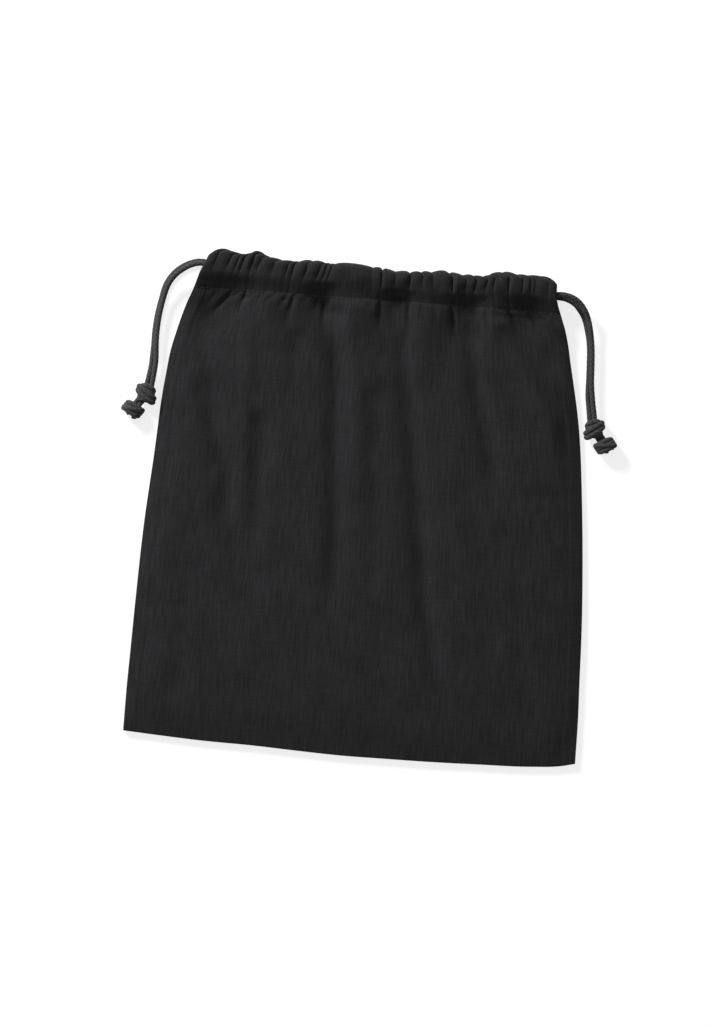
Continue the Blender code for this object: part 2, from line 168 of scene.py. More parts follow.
# Height of the front cloth along the middle of the sack: y, z (mm)
FRONT_CREST = (
    (-152, 4.4), (-135, 5.6), (-60, 6.6), (0, 7.0), (50, 7.3), (80, 7.6), (100, 8.1),
    (115, 8.8), (124, 9.5), (129, 9.9), (131.5, 10.15),
)
# Height of the seams between the two panels: y, z (mm)
SEAM_LINE = ((-152, 2.0), (-60, 2.3), (85, 2.3), (110, 3.4), (129, 6.0))

# The gathered header: half its width at the top edge, the puckers' height on each panel, the share
# of it that is left at the stitch, and how far down a tuck has to run to be shut at the stitch (mm)
HEADER_REACH = 107.2 * MM
PUCKER_HEIGHT = 3.4 * MM
BACK_PUCKER_HEIGHT = 1.6 * MM
STITCH_SWELL = 0.18
LONG_TUCK = 17
# How far the stitch draws each casing in, and the groove that it leaves
CASING_PINCH = 3.6 * MM
BACK_CASING_PINCH = 1.6 * MM
GROOVE_DEPTH = 0.5 * MM
GROOVE_WIDTH = 1.1 * MM
# The tucks below the stitch
CREASE_DEPTH = 2.2 * MM
BACK_CREASE_DEPTH = 1.5 * MM
# The casing's inner flap ends short of the cords' far loops and, above the stitch, the front's
# stays over the back's
FLAP_REACH = 95.0 * MM
LOWEST_FRONT_FLAP = 5.5 * MM
# Above this height up the sack the hollows and swells fade, clear of the cords in the casing
CLEAR_OF_CORDS_Y = 135.5 * MM

# The lying body: how far in from the sides and the bottom each panel curves up or down, how
# steeply, and where up the sack that curve starts to give way to the casing
FRONT_SIDE_DOME = 21 * MM
FRONT_BOTTOM_DOME = 24 * MM
BACK_DOME = 16 * MM
FRONT_DOME_POWER = 2.3
BACK_DOME_POWER = 2.6
FRONT_DOME_FADES_Y = 112 * MM
BACK_DOME_FADES_Y = 120 * MM

# The sheets' steps: across, up the body, and up the finer part that leads to the stitch
COLUMN_STEP = 0.75 * MM
ROW_STEP = 1.5 * MM
FINE_ROW_STEP = 0.8 * MM
FINE_ROWS_FROM = 90 * MM
# The allowance inside the seams, its four lines and the angles of the curl that leads to it
ALLOWANCE = 7 * MM
ALLOWANCE_LINES = np.linspace(ALLOWANCE, 0.8 * MM, 4)
CURL_ANGLES = np.radians([150, 110, 70, 30])
EDGE_CURL = 0.5 * MM

# Threads: the lockstitch, and the overlocking round the allowances
THREAD = 0.34 * MM
THREAD_STEP = 0.2 * MM
STITCH_LENGTH = 2.6 * MM
STITCH_GAP = 0.5 * MM
OVERLOCK_PITCH = 2.2 * MM
OVERLOCK_HALF_WIDTH = 2.1 * MM
OVERLOCK_HALF_HEIGHT = 0.95 * MM
OVERLOCK_INSET = 1.8 * MM
BOTTOM_OVERLOCK_Z = 1.6 * MM
BOTTOM_OVERLOCK_ENDS = 14 * MM
SIDE_OVERLOCK_Y = (-0.136, 0.121)

# ---------------------------------------------------------------- the cords' ways

HINGE_X = 0.1099
LEFT_CORD_Y = sum(corner.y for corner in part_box("left_cord_loop")) / 2
RIGHT_CORD_Y = sum(corner.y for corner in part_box("right_cord_loop")) / 2
LEFT_ROUTE = (
    (-HINGE_X, LEFT_CORD_Y), (-0.1160, 0.1468), (-0.1231, 0.1440), (-0.1297, 0.1386),
    (-0.1340, 0.1316), (-0.1364, 0.1221), (-0.1381, 0.1118), (-0.1388, 0.1013),
    (-0.1387, 0.0913), (-0.1387, 0.0827), (-0.1396, 0.0744), (-0.1403, 0.0694),
)
RIGHT_ROUTE = (
    (HINGE_X, RIGHT_CORD_Y), (0.1151, 0.1418), (0.1211, 0.1385), (0.1264, 0.1313),
    (0.1294, 0.1220), (0.1311, 0.1126), (0.1318, 0.1030), (0.1322, 0.0936), (0.1328, 0.0841),
    (0.1342, 0.0747), (0.1353, 0.0679),
)
KNOT_CENTRES = {
    "left": ((-0.1417, 0.0637), (-0.1493, 0.0531)),
    "right": ((0.1368, 0.0622), (0.1445, 0.0522)),
}
# Share of the way, half the distance between the strands, upper strand's height, lower strand's
STRAND_LAY = (
    (0.00, 0.0008, FRONT_CASING_Z, BACK_CASING_Z), (0.08, 0.0010, 0.0113, 0.0022),
    (0.18, 0.0011, 0.0096, 0.0018), (0.30, 0.0009, 0.0070, 0.0017),
    (0.44, 0.0007, 0.0053, 0.0017), (0.70, 0.0008, 0.0051, 0.0017),
    (0.86, 0.0013, 0.0048, 0.0020), (1.00, 0.0015, 0.0044, 0.0036),
)
# How far out each strand starts in the casing
CASING_RUN_X = 0.100
CORD = 3.2 * MM
KNOT_ENTRY = 2.5 * MM
# Radius of the cord in a knot's thick and thin turns, and the knot's height over the table
THICK_TURN = 1.75 * MM
THIN_TURN = 1.60 * MM
KNOT_LIFT = 0.3 * MM
# Turns of the knots: half width, how much lower than the knot, place along it (mm), tilt, radius
MAIN_KNOT_TURNS = (
    (5.4, 0.6, 4.0, 0.10, THICK_TURN), (5.4, 0.6, 1.2, 0.10, THICK_TURN),
    (7.2, 0.0, 0.5, 0.42, THICK_TURN), (7.2, 0.0, -3.0, 0.42, THICK_TURN),
    (5.0, 0.9, -4.4, -0.15, THIN_TURN),
)
END_KNOT_TURNS = (
    (6.7, 0.0, 2.6, -0.12, THIN_TURN), (6.7, 0.0, 0.0, -0.12, THIN_TURN),
    (6.7, 0.0, -2.6, -0.12, THIN_TURN), (6.6, -0.7, 0.0, -0.62, THIN_TURN),
)
# The two cut tips below the end knot: their way in its own axes, and each one's side and offset;
# and half the distance between the two strands where they enter that knot (all in mm)
TIP_WAY = ((0.0, -1.5, -1.4), (0.5, -2.8, -2.2), (1.2, -4.0, -2.8))
TIPS = ((1, 2.6), (-1, -0.4))
NECK_HALF_GAP = 1.25

# ---------------------------------------------------------------- the stage

# The camera takes in VIEW_SPAN at the sack, from top to bottom, round VIEW_CENTRE, and is turned
# so that the sack lies a little clockwise
FLOOR_SIZE = 12.0
KEY_PLACE = (-1.15, 1.32, 0.92)
KEY_SIZE = 0.5
VIEW_SPAN = 0.6365
VIEW_CENTRE = (-0.0025, -0.0006, 0.005)
VIEW_TURN = math.radians(4.27)


# ---------------------------------------------------------------- small helpers


def linear(hex_colour):
    """sRGB hex such as #2a2a2c as linear RGBA."""
    channels = [int(hex_colour[i:i + 2], 16) / 255 for i in (1, 3, 5)]
    light = [c / 12.92 if c <= 0.04045 else ((c + 0.055) / 1.055) ** 2.4 for c in channels]
    return (*light, 1.0)


def smooth(value):
    """Eases from 0 to 1 as the value goes from 0 to 1."""
    value = np.clip(value, 0.0, 1.0)
    return value * value * (3 - 2 * value)


def curve_through(points, at):
    """A smooth curve through (x, y) points, read at the places given: cubic with local slopes."""
    x = np.array([p[0] for p in points], float)
    y = np.array([p[1] for p in points], float)
    slopes = np.gradient(y, x)
    i = np.clip(np.searchsorted(x, at) - 1, 0, len(x) - 2)
    step = x[i + 1] - x[i]
    t = np.clip((at - x[i]) / step, 0.0, 1.0)
    a = (1 + 2 * t) * (1 - t) ** 2
    b = t * (1 - t) ** 2
    c = t * t * (3 - 2 * t)
    d = t * t * (t - 1)
    return a * y[i] + b * step * slopes[i] + c * y[i + 1] + d * step * slopes[i + 1]


def in_metres(points):
    """Points given in millimetres, in metres."""
    return [tuple(v * MM for v in p) for p in points]


def soft_noise(x, y, scale, seed):
    """Smooth noise about -1 to 1 from seeded sine waves whose length is about the scale."""
    waves = 14
    random = np.random.default_rng(seed)
    total = np.zeros_like(x)
    for _ in range(waves):
        angle = random.uniform(0, math.tau)
        length = scale * random.uniform(0.6, 1.7)
        phase = random.uniform(0, math.tau)
        total += np.sin((x * math.cos(angle) + y * math.sin(angle)) * math.tau / length + phase)
    return total / math.sqrt(waves)


def distance_to_way(x, y, points):
    """Distance to a polyline and the share of its length at the nearest place."""
    points = np.array(points, float)
    lengths = np.hypot(*np.diff(points, axis=0).T)
    before = np.concatenate([[0.0], np.cumsum(lengths)])
    best = np.full(x.shape, np.inf)
    share = np.zeros(x.shape)
    for i, length in enumerate(lengths):
        (ax, ay), (bx, by) = points[i], points[i + 1]
        t = np.clip(((x - ax) * (bx - ax) + (y - ay) * (by - ay)) / length**2, 0.0, 1.0)
        far = np.hypot(x - ax - t * (bx - ax), y - ay - t * (by - ay))
        nearer = far < best
        best = np.where(nearer, far, best)
        share = np.where(nearer, (before[i] + t * length) / before[-1], share)
    return best, share


def smooth_way(points, steps=12):
    """A denser polyline along one smooth curve through the given points of any dimension."""
    points = np.array(points, float)
    padded = np.vstack([points[:1], points, points[-1:]])
    way = []
    for a, b, c, d in zip(padded, padded[1:], padded[2:], padded[3:]):
        for t in np.linspace(0, 1, steps, endpoint=False):
            way.append(0.5 * (2 * b + (c - a) * t + (2 * a - 5 * b + 4 * c - d) * t**2
                              + (3 * b - a - 3 * c + d) * t**3))
    way.append(points[-1])
    return np.array(way)


def evenly(way, step):
    """The same polyline with its points an even step apart."""
    lengths = np.concatenate([[0.0], np.cumsum(np.linalg.norm(np.diff(way, axis=0), axis=1))])
    count = max(2, int(round(lengths[-1] / step)) + 1)
    at = np.linspace(0, lengths[-1], count)
    return np.stack([np.interp(at, lengths, way[:, k]) for k in range(way.shape[1])], axis=1)


def mesh_object(name, points, faces, material, places):
    """A smooth mesh whose UV map holds each point's flat place in millimetres."""
    mesh = bpy.data.meshes.new(name)
    mesh.from_pydata(points.tolist(), [], faces)
    layer = mesh.uv_layers.new(name="cloth_mm")
    loops = np.empty(len(mesh.loops), np.int32)
    mesh.loops.foreach_get("vertex_index", loops)
    layer.data.foreach_set("uv", places[loops].astype(np.float32).ravel())
    mesh.shade_smooth()
    mesh.materials.append(material)
    obj = bpy.data.objects.new(name, mesh)
    bpy.context.scene.collection.objects.link(obj)
    return obj


def grid_faces(rows, columns):
    """The quads of a grid of points, rows of columns."""
    index = np.arange(rows * columns).reshape(rows, columns)
    quads = [index[:-1, :-1], index[:-1, 1:], index[1:, 1:], index[1:, :-1]]
    return np.stack([q.ravel() for q in quads], axis=1)


def add_thickness(obj, thickness):
    """Gives a sheet its thickness, half to each side."""
    shell = obj.modifiers.new("cloth", "SOLIDIFY")
    shell.thickness = thickness
    shell.offset = 0.0
    shell.use_even_offset = False
    graph = bpy.context.evaluated_depsgraph_get()
    mesh = bpy.data.meshes.new_from_object(obj.evaluated_get(graph))
    obj.modifiers.clear()
    obj.data = mesh
    obj.data.shade_smooth()


# ---------------------------------------------------------------- materials


def add_node(tree, kind, settings=None, links=None):
    """Adds a node. Settings are its own attributes or, by socket name or index, input values;
    links map an input socket to another node's output socket."""
    node = tree.nodes.new(kind)
    for key, value in (settings or {}).items():
        if isinstance(key, str) and hasattr(node, key):
            setattr(node, key, value)
        else:
            node.inputs[key].default_value = value
    for key, source in (links or {}).items():
        tree.links.new(source, node.inputs[key])
    return node


def new_material(name):
    material = bpy.data.materials.new(name)
    material.use_nodes = True
    tree = material.node_tree
    tree.nodes.clear()
    return material, tree


def plain_woven_slub_cotton(settings):
    """Piece-dyed black slub cotton, plain woven and unfinished: the eye sees a dry, matt, nearly
    black cloth with thin uneven warp threads as faint lighter and darker streaks."""
    material, tree = new_material("plain_woven_slub_cotton")
    place = add_node(tree, "ShaderNodeUVMap", {"uv_map": "cloth_mm"}).outputs["UV"]
    # Threads are 0.45 mm apart; they are drawn at 0.9 mm, since the true pitch is too fine to show
    # from above the whole sack and would only look like noise.
    pitch = settings.weave_pitch / MM
    axes = add_node(tree, "ShaderNodeSeparateXYZ", links={0: place})
    threads = []
    for axis in ("X", "Y"):
        turns = add_node(tree, "ShaderNodeMath", {"operation": "MULTIPLY", 1: math.pi / pitch},
                         {0: axes.outputs[axis]}).outputs[0]
        threads.append(add_node(tree, "ShaderNodeMath", {"operation": "SINE"}, {0: turns}).outputs[0])
    weave = add_node(tree, "ShaderNodeMath", {"operation": "MULTIPLY"},
                     {0: threads[0], 1: threads[1]}).outputs[0]
    # Slubs: thick places of single threads, about 0.9 mm wide and 8 to 25 mm long
    warp_stretch = add_node(tree, "ShaderNodeMapping", {"Scale": (1.05, 0.055, 1.0)},
                            {"Vector": place})
    slubs = add_node(tree, "ShaderNodeTexNoise", {"Scale": 1.0, "Detail": 3.0, "Roughness": 0.62},
                     {"Vector": warp_stretch.outputs[0]}).outputs["Fac"]
    weft_stretch = add_node(tree, "ShaderNodeMapping", {"Scale": (0.09, 1.1, 1.0)}, {"Vector": place})
    bars = add_node(tree, "ShaderNodeTexNoise", {"Scale": 1.0, "Detail": 2.0, "Roughness": 0.55},
                    {"Vector": weft_stretch.outputs[0]}).outputs["Fac"]
    # Uneven dye over some 20 mm
    cloudy = add_node(tree, "ShaderNodeTexNoise", {"Scale": 0.05, "Detail": 2.0, "Roughness": 0.5},
                      {"Vector": place}).outputs["Fac"]
    faint_bars = add_node(tree, "ShaderNodeMath", {"operation": "MULTIPLY", 1: 0.24},
                          {0: bars}).outputs[0]
    streaks = add_node(tree, "ShaderNodeMath", {"operation": "MULTIPLY_ADD", 1: 0.62},
                       {0: slubs, 2: faint_bars}).outputs[0]
    mixed = add_node(tree, "ShaderNodeMath", {"operation": "MULTIPLY_ADD", 1: 0.18},
                     {0: cloudy, 2: streaks}).outputs[0]
    woven = add_node(tree, "ShaderNodeMath", {"operation": "MULTIPLY_ADD", 1: 0.035},
                     {0: weave, 2: mixed}).outputs[0]
    ramp = add_node(tree, "ShaderNodeValToRGB", links={"Fac": woven})
    ramp.color_ramp.elements[0].position = 0.38
    ramp.color_ramp.elements[0].color = linear(settings.dark_hex)
    ramp.color_ramp.elements[1].position = 0.70
    ramp.color_ramp.elements[1].color = linear(settings.light_hex)
    low_weave = add_node(tree, "ShaderNodeMath", {"operation": "MULTIPLY", 1: 0.25},
                         {0: weave}).outputs[0]
    relief = add_node(tree, "ShaderNodeMath", {"operation": "MULTIPLY_ADD", 1: 0.5},
                      {0: slubs, 2: low_weave}).outputs[0]
    bump = add_node(tree, "ShaderNodeBump", {"Strength": 0.35, "Distance": 0.25 * MM},
                    {"Height": relief})
    shader = add_node(
        tree, "ShaderNodeBsdfPrincipled",
        {"Roughness": 0.92, "IOR": 1.5, "Specular IOR Level": 0.12, "Sheen Weight": 0.10,
         "Sheen Roughness": 0.55, "Sheen Tint": (0.55, 0.55, 0.58, 1.0)},
        {"Base Color": ramp.outputs["Color"], "Normal": bump.outputs["Normal"]})
    add_node(tree, "ShaderNodeOutputMaterial", links={"Surface": shader.outputs[0]})
    return material


def braided_cotton_cord(settings):
    """Dyed cotton cord of eight braided yarns: the eye sees a dull charcoal, lighter than the
    cloth, with fine slanting yarns and painted shade that darkens the grooves between them."""
    material, tree = new_material("braided_cotton_cord")
    place = add_node(tree, "ShaderNodeUVMap", {"uv_map": "cloth_mm"}).outputs["UV"]
    axes = add_node(tree, "ShaderNodeSeparateXYZ", links={0: place})
    # Yarns are 0.9 mm wide and slant at about 40 degrees to the cord
    slanted = []
    for lean in (1.0, -1.0):
        across = add_node(tree, "ShaderNodeMath",
                          {"operation": "MULTIPLY", 1: lean * math.tau / 2.51},
                          {0: axes.outputs["X"]}).outputs[0]
        phase = add_node(tree, "ShaderNodeMath", {"operation": "MULTIPLY_ADD", 1: math.tau / 2.9},
                         {0: axes.outputs["Y"], 2: across}).outputs[0]
        slanted.append(add_node(tree, "ShaderNodeMath", {"operation": "SINE"}, {0: phase}).outputs[0])
    yarns = add_node(tree, "ShaderNodeMath", {"operation": "MAXIMUM"},
                     {0: slanted[0], 1: slanted[1]}).outputs[0]
    fibres = add_node(tree, "ShaderNodeTexNoise", {"Scale": 2.2, "Detail": 4.0, "Roughness": 0.7},
                      {"Vector": place}).outputs["Fac"]
    # Colour: the fibres' own random tone, plus painted shade that darkens the grooves between the
    # yarns; the bump uses the same mix
    groove_shade_and_fibres = add_node(tree, "ShaderNodeMath", {"operation": "MULTIPLY_ADD", 1: 0.22},
                    {0: yarns, 2: fibres}).outputs[0]
    ramp = add_node(tree, "ShaderNodeValToRGB", links={"Fac": groove_shade_and_fibres})
    ramp.color_ramp.elements[0].position = 0.30
    ramp.color_ramp.elements[0].color = linear(settings.dark_hex)
    ramp.color_ramp.elements[1].position = 0.80
    ramp.color_ramp.elements[1].color = linear(settings.light_hex)
    bump = add_node(tree, "ShaderNodeBump", {"Strength": 0.6, "Distance": 0.3 * MM}, {"Height": groove_shade_and_fibres})
    shader = add_node(
        tree, "ShaderNodeBsdfPrincipled",
        {"Roughness": 0.85, "IOR": 1.5, "Specular IOR Level": 0.15, "Sheen Weight": 0.12,
         "Sheen Roughness": 0.5, "Sheen Tint": (0.6, 0.6, 0.62, 1.0)},
        {"Base Color": ramp.outputs["Color"], "Normal": bump.outputs["Normal"]})
    add_node(tree, "ShaderNodeOutputMaterial", links={"Surface": shader.outputs[0]})
    return material


def spun_polyester_thread(settings):
    """Black spun polyester sewing thread, two plies twisted: the eye sees a fine dark line with a
    slight satin light on each stitch, and painted shade that darkens the grooves between the plies."""
    material, tree = new_material("spun_polyester_thread")
    place = add_node(tree, "ShaderNodeUVMap", {"uv_map": "cloth_mm"}).outputs["UV"]
    axes = add_node(tree, "ShaderNodeSeparateXYZ", links={0: place})
    # One twist of the plies every 0.6 mm
    turn = add_node(tree, "ShaderNodeMath", {"operation": "MULTIPLY_ADD", 1: math.tau / 0.6},
                    {0: axes.outputs["Y"], 2: axes.outputs["X"]}).outputs[0]
    plies = add_node(tree, "ShaderNodeMath", {"operation": "SINE"}, {0: turn}).outputs[0]
    # Painted shade: the grooves between the plies are coloured darker, along the same twist that the
    # bump follows
    ramp = add_node(tree, "ShaderNodeValToRGB", links={"Fac": plies})
    ramp.color_ramp.elements[0].color = linear(settings.dark_hex)
    ramp.color_ramp.elements[1].color = linear(settings.light_hex)
    bump = add_node(tree, "ShaderNodeBump", {"Strength": 0.5, "Distance": 0.05 * MM}, {"Height": plies})
    shader = add_node(
        tree, "ShaderNodeBsdfPrincipled",
        {"Roughness": 0.55, "IOR": 1.55, "Specular IOR Level": 0.3, "Sheen Weight": 0.05},
        {"Base Color": ramp.outputs["Color"], "Normal": bump.outputs["Normal"]})
    add_node(tree, "ShaderNodeOutputMaterial", links={"Surface": shader.outputs[0]})
    return material


def kept_material(name, maker, settings):
    """The material of that name, made once and then shared."""
    return bpy.data.materials.get(name) or maker(settings)


# ---------------------------------------------------------------- the cloth's shape


def reach(y):
    """How far the sack reaches to the left and to the right at a height, both above zero."""
    left = curve_through([(p[0] * MM, p[1] * MM) for p in OUTLINE], y)
    right = curve_through([(p[0] * MM, p[2] * MM) for p in OUTLINE], y)
    return left, right


def gather_profile(gathers, x, up=1.0):
    """Height of the header's puckers across it, 0 in a shut tuck to about 1 on a wide lump.
    Going down from the top edge (up 1) to the stitch (up 0) the short tucks open out."""
    edges = [-HEADER_REACH] + [g[0] * MM for g in gathers] + [HEADER_REACH]
    hold = float(smooth(up * 1.4))
    depths = [g[1] * (1.0 if g[2] > LONG_TUCK else 0.25 + 0.75 * hold) for g in gathers]
    depths = [0.9] + depths + [0.9]
    height = np.zeros_like(x)
    for i in range(len(edges) - 1):
        low, high = edges[i], edges[i + 1]
        inside = (x >= low) & (x <= high)
        t = np.clip((x - low) / (high - low), 0.0, 1.0)
        crest = min(1.0, 0.35 + (high - low) / (11 * MM)) * (0.80 + 0.24 * math.sin(5.1 * i))
        floor = (1 - depths[i]) * (1 - t) + (1 - depths[i + 1]) * t
        floor *= 0.75 * crest
        peak = 0.5 + 0.18 * math.sin(3.7 * i)
        bent = np.where(t < peak, t / peak / 2, 0.5 + (t - peak) / (1 - peak) / 2)
        roundness = 0.5 + 0.45 * abs(math.sin(2.9 * i))
        lump = floor + (crest - floor) * (4 * bent * (1 - bent)) ** roundness
        height = np.where(inside, lump, height)
    return height


def header_places(gathers, lines):
    """Where each warp line stands in the gathered header: even steps along the puckered cloth."""
    x = np.linspace(-HEADER_REACH, HEADER_REACH, 4001)
    height = gather_profile(gathers, x) * PUCKER_HEIGHT
    along = np.concatenate([[0.0], np.cumsum(np.hypot(np.diff(x), np.diff(height)))])
    return np.interp(lines, along / along[-1], x)


def sway(x, y):
    """How far the gathers wander sideways, none at the casing's ends."""
    inside = 1 - np.clip(np.abs(x) / HEADER_REACH, 0, 1) ** 6
    return 0.9 * MM * inside * soft_noise(x, y * 1.6, 0.034, 17)


def crease_trails(gathers, x, y):
    """The tucks that run on below the casing stitch, as a depth to take off the cloth."""
    depth = np.zeros_like(x)
    for place, strength, run, lean in gathers:
        down = np.clip((STITCH_Y - y) / (run * MM), 0.0, 1.0)
        centre = place * MM * (1 + 0.10 * down) + lean * MM * down
        width = (1.3 + 2.4 * down) * MM
        fade = (1 - smooth(down)) * (0.25 + 0.75 * smooth((STITCH_Y - y) / (5 * MM)))
        depth += strength * fade * np.exp(-(((x - centre) / width) ** 2))
    return depth


def pucker_height(is_front, gathers, x, up):
    """Height of the header's puckers in metres. The back's can't stand out through the table:
    its lumps lie on it, and its tucks rise from it, least where the cord runs over them."""
    profile = gather_profile(gathers, x, up)
    if is_front:
        return profile * PUCKER_HEIGHT
    return (profile - 1) * (0.3 * MM + BACK_PUCKER_HEIGHT * float(1 - smooth(up / 0.35)))


def soft_spots(x, y, spots):
    """Round hollows or swells, whose reach up the sack differs from their reach down it."""
    height = np.zeros_like(x)
    for size, across, middle, width, reach_up, reach_down in spots:
        off = y - middle * MM
        far = off / np.where(off > 0, reach_up * MM, reach_down * MM)
        height += size * MM * np.exp(-((x / MM - across) / width) ** 2 - far**2)
    return height


def under_casing(x, y):
    """The large folds that start at the front casing stitch: above zero where they stand out."""
    clear_of_cords = 1 - smooth((y - CLEAR_OF_CORDS_Y) / (5 * MM))
    return (soft_spots(x, y, FRONT_SWELLS) - soft_spots(x, y, FRONT_HOLLOWS)) * clear_of_cords


def long_folds(x, y, folds):
    """Height of folds that run along smooth ways and fade towards their ends."""
    height = np.zeros_like(x)
    for size, width, points in folds:
        far, share = distance_to_way(x, y, smooth_way(in_metres(points), 6))
        fade = smooth(share / 0.12) * smooth((1 - share) / 0.25)
        height += size * MM * fade * np.exp(-((far / (width * MM)) ** 2))
    return height


def sheet_rows():
    """Rows of a panel as (kind, value): the bottom allowance, the body, the casing and its fold."""
    rows = [("allowance", d) for d in ALLOWANCE_LINES]
    rows += [("curl", angle) for angle in CURL_ANGLES]
    rows += [("body", up) for up in np.arange(0.0, 1.0, 1 / round((FINE_ROWS_FROM + TOP_Y) / ROW_STEP))]
    rows += [("upper", y) for y in np.arange(FINE_ROWS_FROM, STITCH_Y - 0.2 * MM, FINE_ROW_STEP)]
    rows += [("outer", y) for y in np.linspace(STITCH_Y, FOLD_Y, 21)]
    rows += [("fold", angle) for angle in np.linspace(0, math.pi, 13)[1:]]
    rows += [("inner", y) for y in np.linspace(FOLD_Y, HEM_Y, 14)[1:]]
    return rows


def sheet_columns():
    """Columns as (side allowance or curl, share across): the share is -1 to 1 over the panel."""
    count = int(2 * HALF_WIDTH / COLUMN_STEP)
    columns = [("allowance", -d) for d in ALLOWANCE_LINES]
    columns += [("curl", -angle) for angle in CURL_ANGLES]
    columns += [("panel", share) for share in np.linspace(-1, 1, count)]
    columns += [("curl", angle) for angle in CURL_ANGLES[::-1]]
    columns += [("allowance", d) for d in ALLOWANCE_LINES[::-1]]
    return columns


def front_height(x, y, left, right):
    """Height of the front cloth below the casing stitch."""
    across = np.where(x < 0, -x / left, x / right)
    crest = curve_through(in_metres(FRONT_CREST), y)
    seam = curve_through(in_metres(SEAM_LINE), y) + 0.3 * MM + 2 * EDGE_CURL
    side = np.where(x < 0, left + x, right - x)
    bottom = y - curve_through(in_metres(BOTTOM_EDGE), x)
    dome_side = FRONT_SIDE_DOME + 8 * MM * soft_noise(y, y * 0, 0.09, 5)
    from_side = 1 - (1 - np.clip(side / dome_side, 0, 1)) ** FRONT_DOME_POWER
    from_bottom = 1 - (1 - np.clip(bottom / FRONT_BOTTOM_DOME, 0, 1)) ** FRONT_DOME_POWER
    full = seam + (crest - seam) * from_side * from_bottom
    inside = from_side * from_bottom
    to_casing = smooth((y - FRONT_DOME_FADES_Y) / (STITCH_Y - FRONT_DOME_FADES_Y))
    full += (crest - full) * to_casing
    inside += (1 - inside) * to_casing
    step = 0.28 * MM * smooth((side - 6.4 * MM) / (1.6 * MM)) * smooth((14 * MM - side) / (7 * MM))
    folds = long_folds(x, y, FRONT_RIDGES) - long_folds(x, y, FRONT_VALLEYS)
    folds *= smooth((STITCH_Y - y) / (10 * MM))
    trails = crease_trails(FRONT_GATHERS, x, y) * CREASE_DEPTH
    puff = 0.25 * MM * np.exp(-(((y - STITCH_Y + 6 * MM) / (3.4 * MM)) ** 2)) * (1 - across**6)
    hang = np.clip(1 - (STITCH_Y - y) / (9 * MM), 0, 1) ** 2
    puff -= GROOVE_DEPTH * np.exp(-(((y - STITCH_Y) / GROOVE_WIDTH) ** 2))
    puff += STITCH_SWELL * PUCKER_HEIGHT * gather_profile(FRONT_GATHERS, x, 0.0) * hang
    wrinkles = 0.22 * MM * soft_noise(x, y, 0.055, 3) + 0.10 * MM * soft_noise(x, y * 0.5, 0.018, 8)
    at_the_side = (1 - smooth(side / (14 * MM))) * smooth((STITCH_Y - y) / (8 * MM))
    large = under_casing(x, y) * (1 - 0.7 * at_the_side)
    return full - step + (folds - trails + puff + wrinkles + large) * inside


def back_height(x, y, left, right):
    """Height of the back cloth below the casing stitch: it lies on the table."""
    seam = curve_through(in_metres(SEAM_LINE), y) - 0.3 * MM - 2 * EDGE_CURL
    side = np.where(x < 0, left + x, right - x)
    bottom = y - curve_through(in_metres(BOTTOM_EDGE), x)
    edge = np.clip(np.minimum(side, bottom) / BACK_DOME, 0, 1)
    to_casing = smooth((y - BACK_DOME_FADES_Y) / (STITCH_Y - BACK_DOME_FADES_Y))
    lift = (1 - edge) ** BACK_DOME_POWER * (1 - to_casing)
    trails = crease_trails(BACK_GATHERS, x, y) * BACK_CREASE_DEPTH
    wrinkles = 0.12 * MM * np.maximum(1 + soft_noise(x, y, 0.05, 21), 0.0)
    to_stitch = np.exp(-(((STITCH_Y - y) / (5 * MM)) ** 2))
    drawn_up = (BACK_CASING_Z - FOLD_RADIUS + BACK_CASING_PINCH + 0.25 * MM) * to_stitch
    return CLOTH / 2 + (seam - CLOTH / 2) * lift + drawn_up + (trails + wrinkles) * (1 - lift)


def casing_height(is_front, kind, value, pucker):
    """Height and place along y of a header row, from the height of the puckers across it."""
    middle = FRONT_CASING_Z if is_front else BACK_CASING_Z
    outwards = 1 if is_front else -1
    pinch = CASING_PINCH if is_front else BACK_CASING_PINCH
    up_the_casing = np.clip((value - STITCH_Y) / (FOLD_Y - STITCH_Y), 0, 1)
    if kind == "outer":
        rise = smooth(up_the_casing / 0.58)
        swell = pucker * (STITCH_SWELL + (1 - STITCH_SWELL) * smooth((up_the_casing - 0.42) / 0.5))
        groove = GROOVE_DEPTH * np.exp(-(((value - STITCH_Y) / GROOVE_WIDTH) ** 2))
        depth = FOLD_RADIUS - pinch * (1 - rise) + swell - groove
        return value, middle + outwards * depth
    if kind == "fold":
        up = max(math.cos(value), 0.0)
        down = min(math.cos(value), 0.0)
        y = FOLD_Y + (FOLD_RADIUS + 0.45 * pucker) * math.sin(value)
        return y, middle + outwards * (up * (FOLD_RADIUS + pucker) + down * FOLD_RADIUS)
    squeeze = 1 - smooth((value - STITCH_Y) / (5.5 * MM))
    depth = -FOLD_RADIUS + squeeze * (2 * FOLD_RADIUS - pinch - 1.5 * MM)
    return value, middle + outwards * depth


def row_place(kind, value, share):
    """Where a row lies up the sack, before the header's puckers bend it."""
    if kind in ("upper", "outer", "inner"):
        return np.full(len(share), value)
    if kind == "fold":
        return np.full(len(share), FOLD_Y)
    bottom = curve_through(in_metres(BOTTOM_EDGE), share * HALF_WIDTH)
    return bottom + (FINE_ROWS_FROM - bottom) * value if kind == "body" else bottom


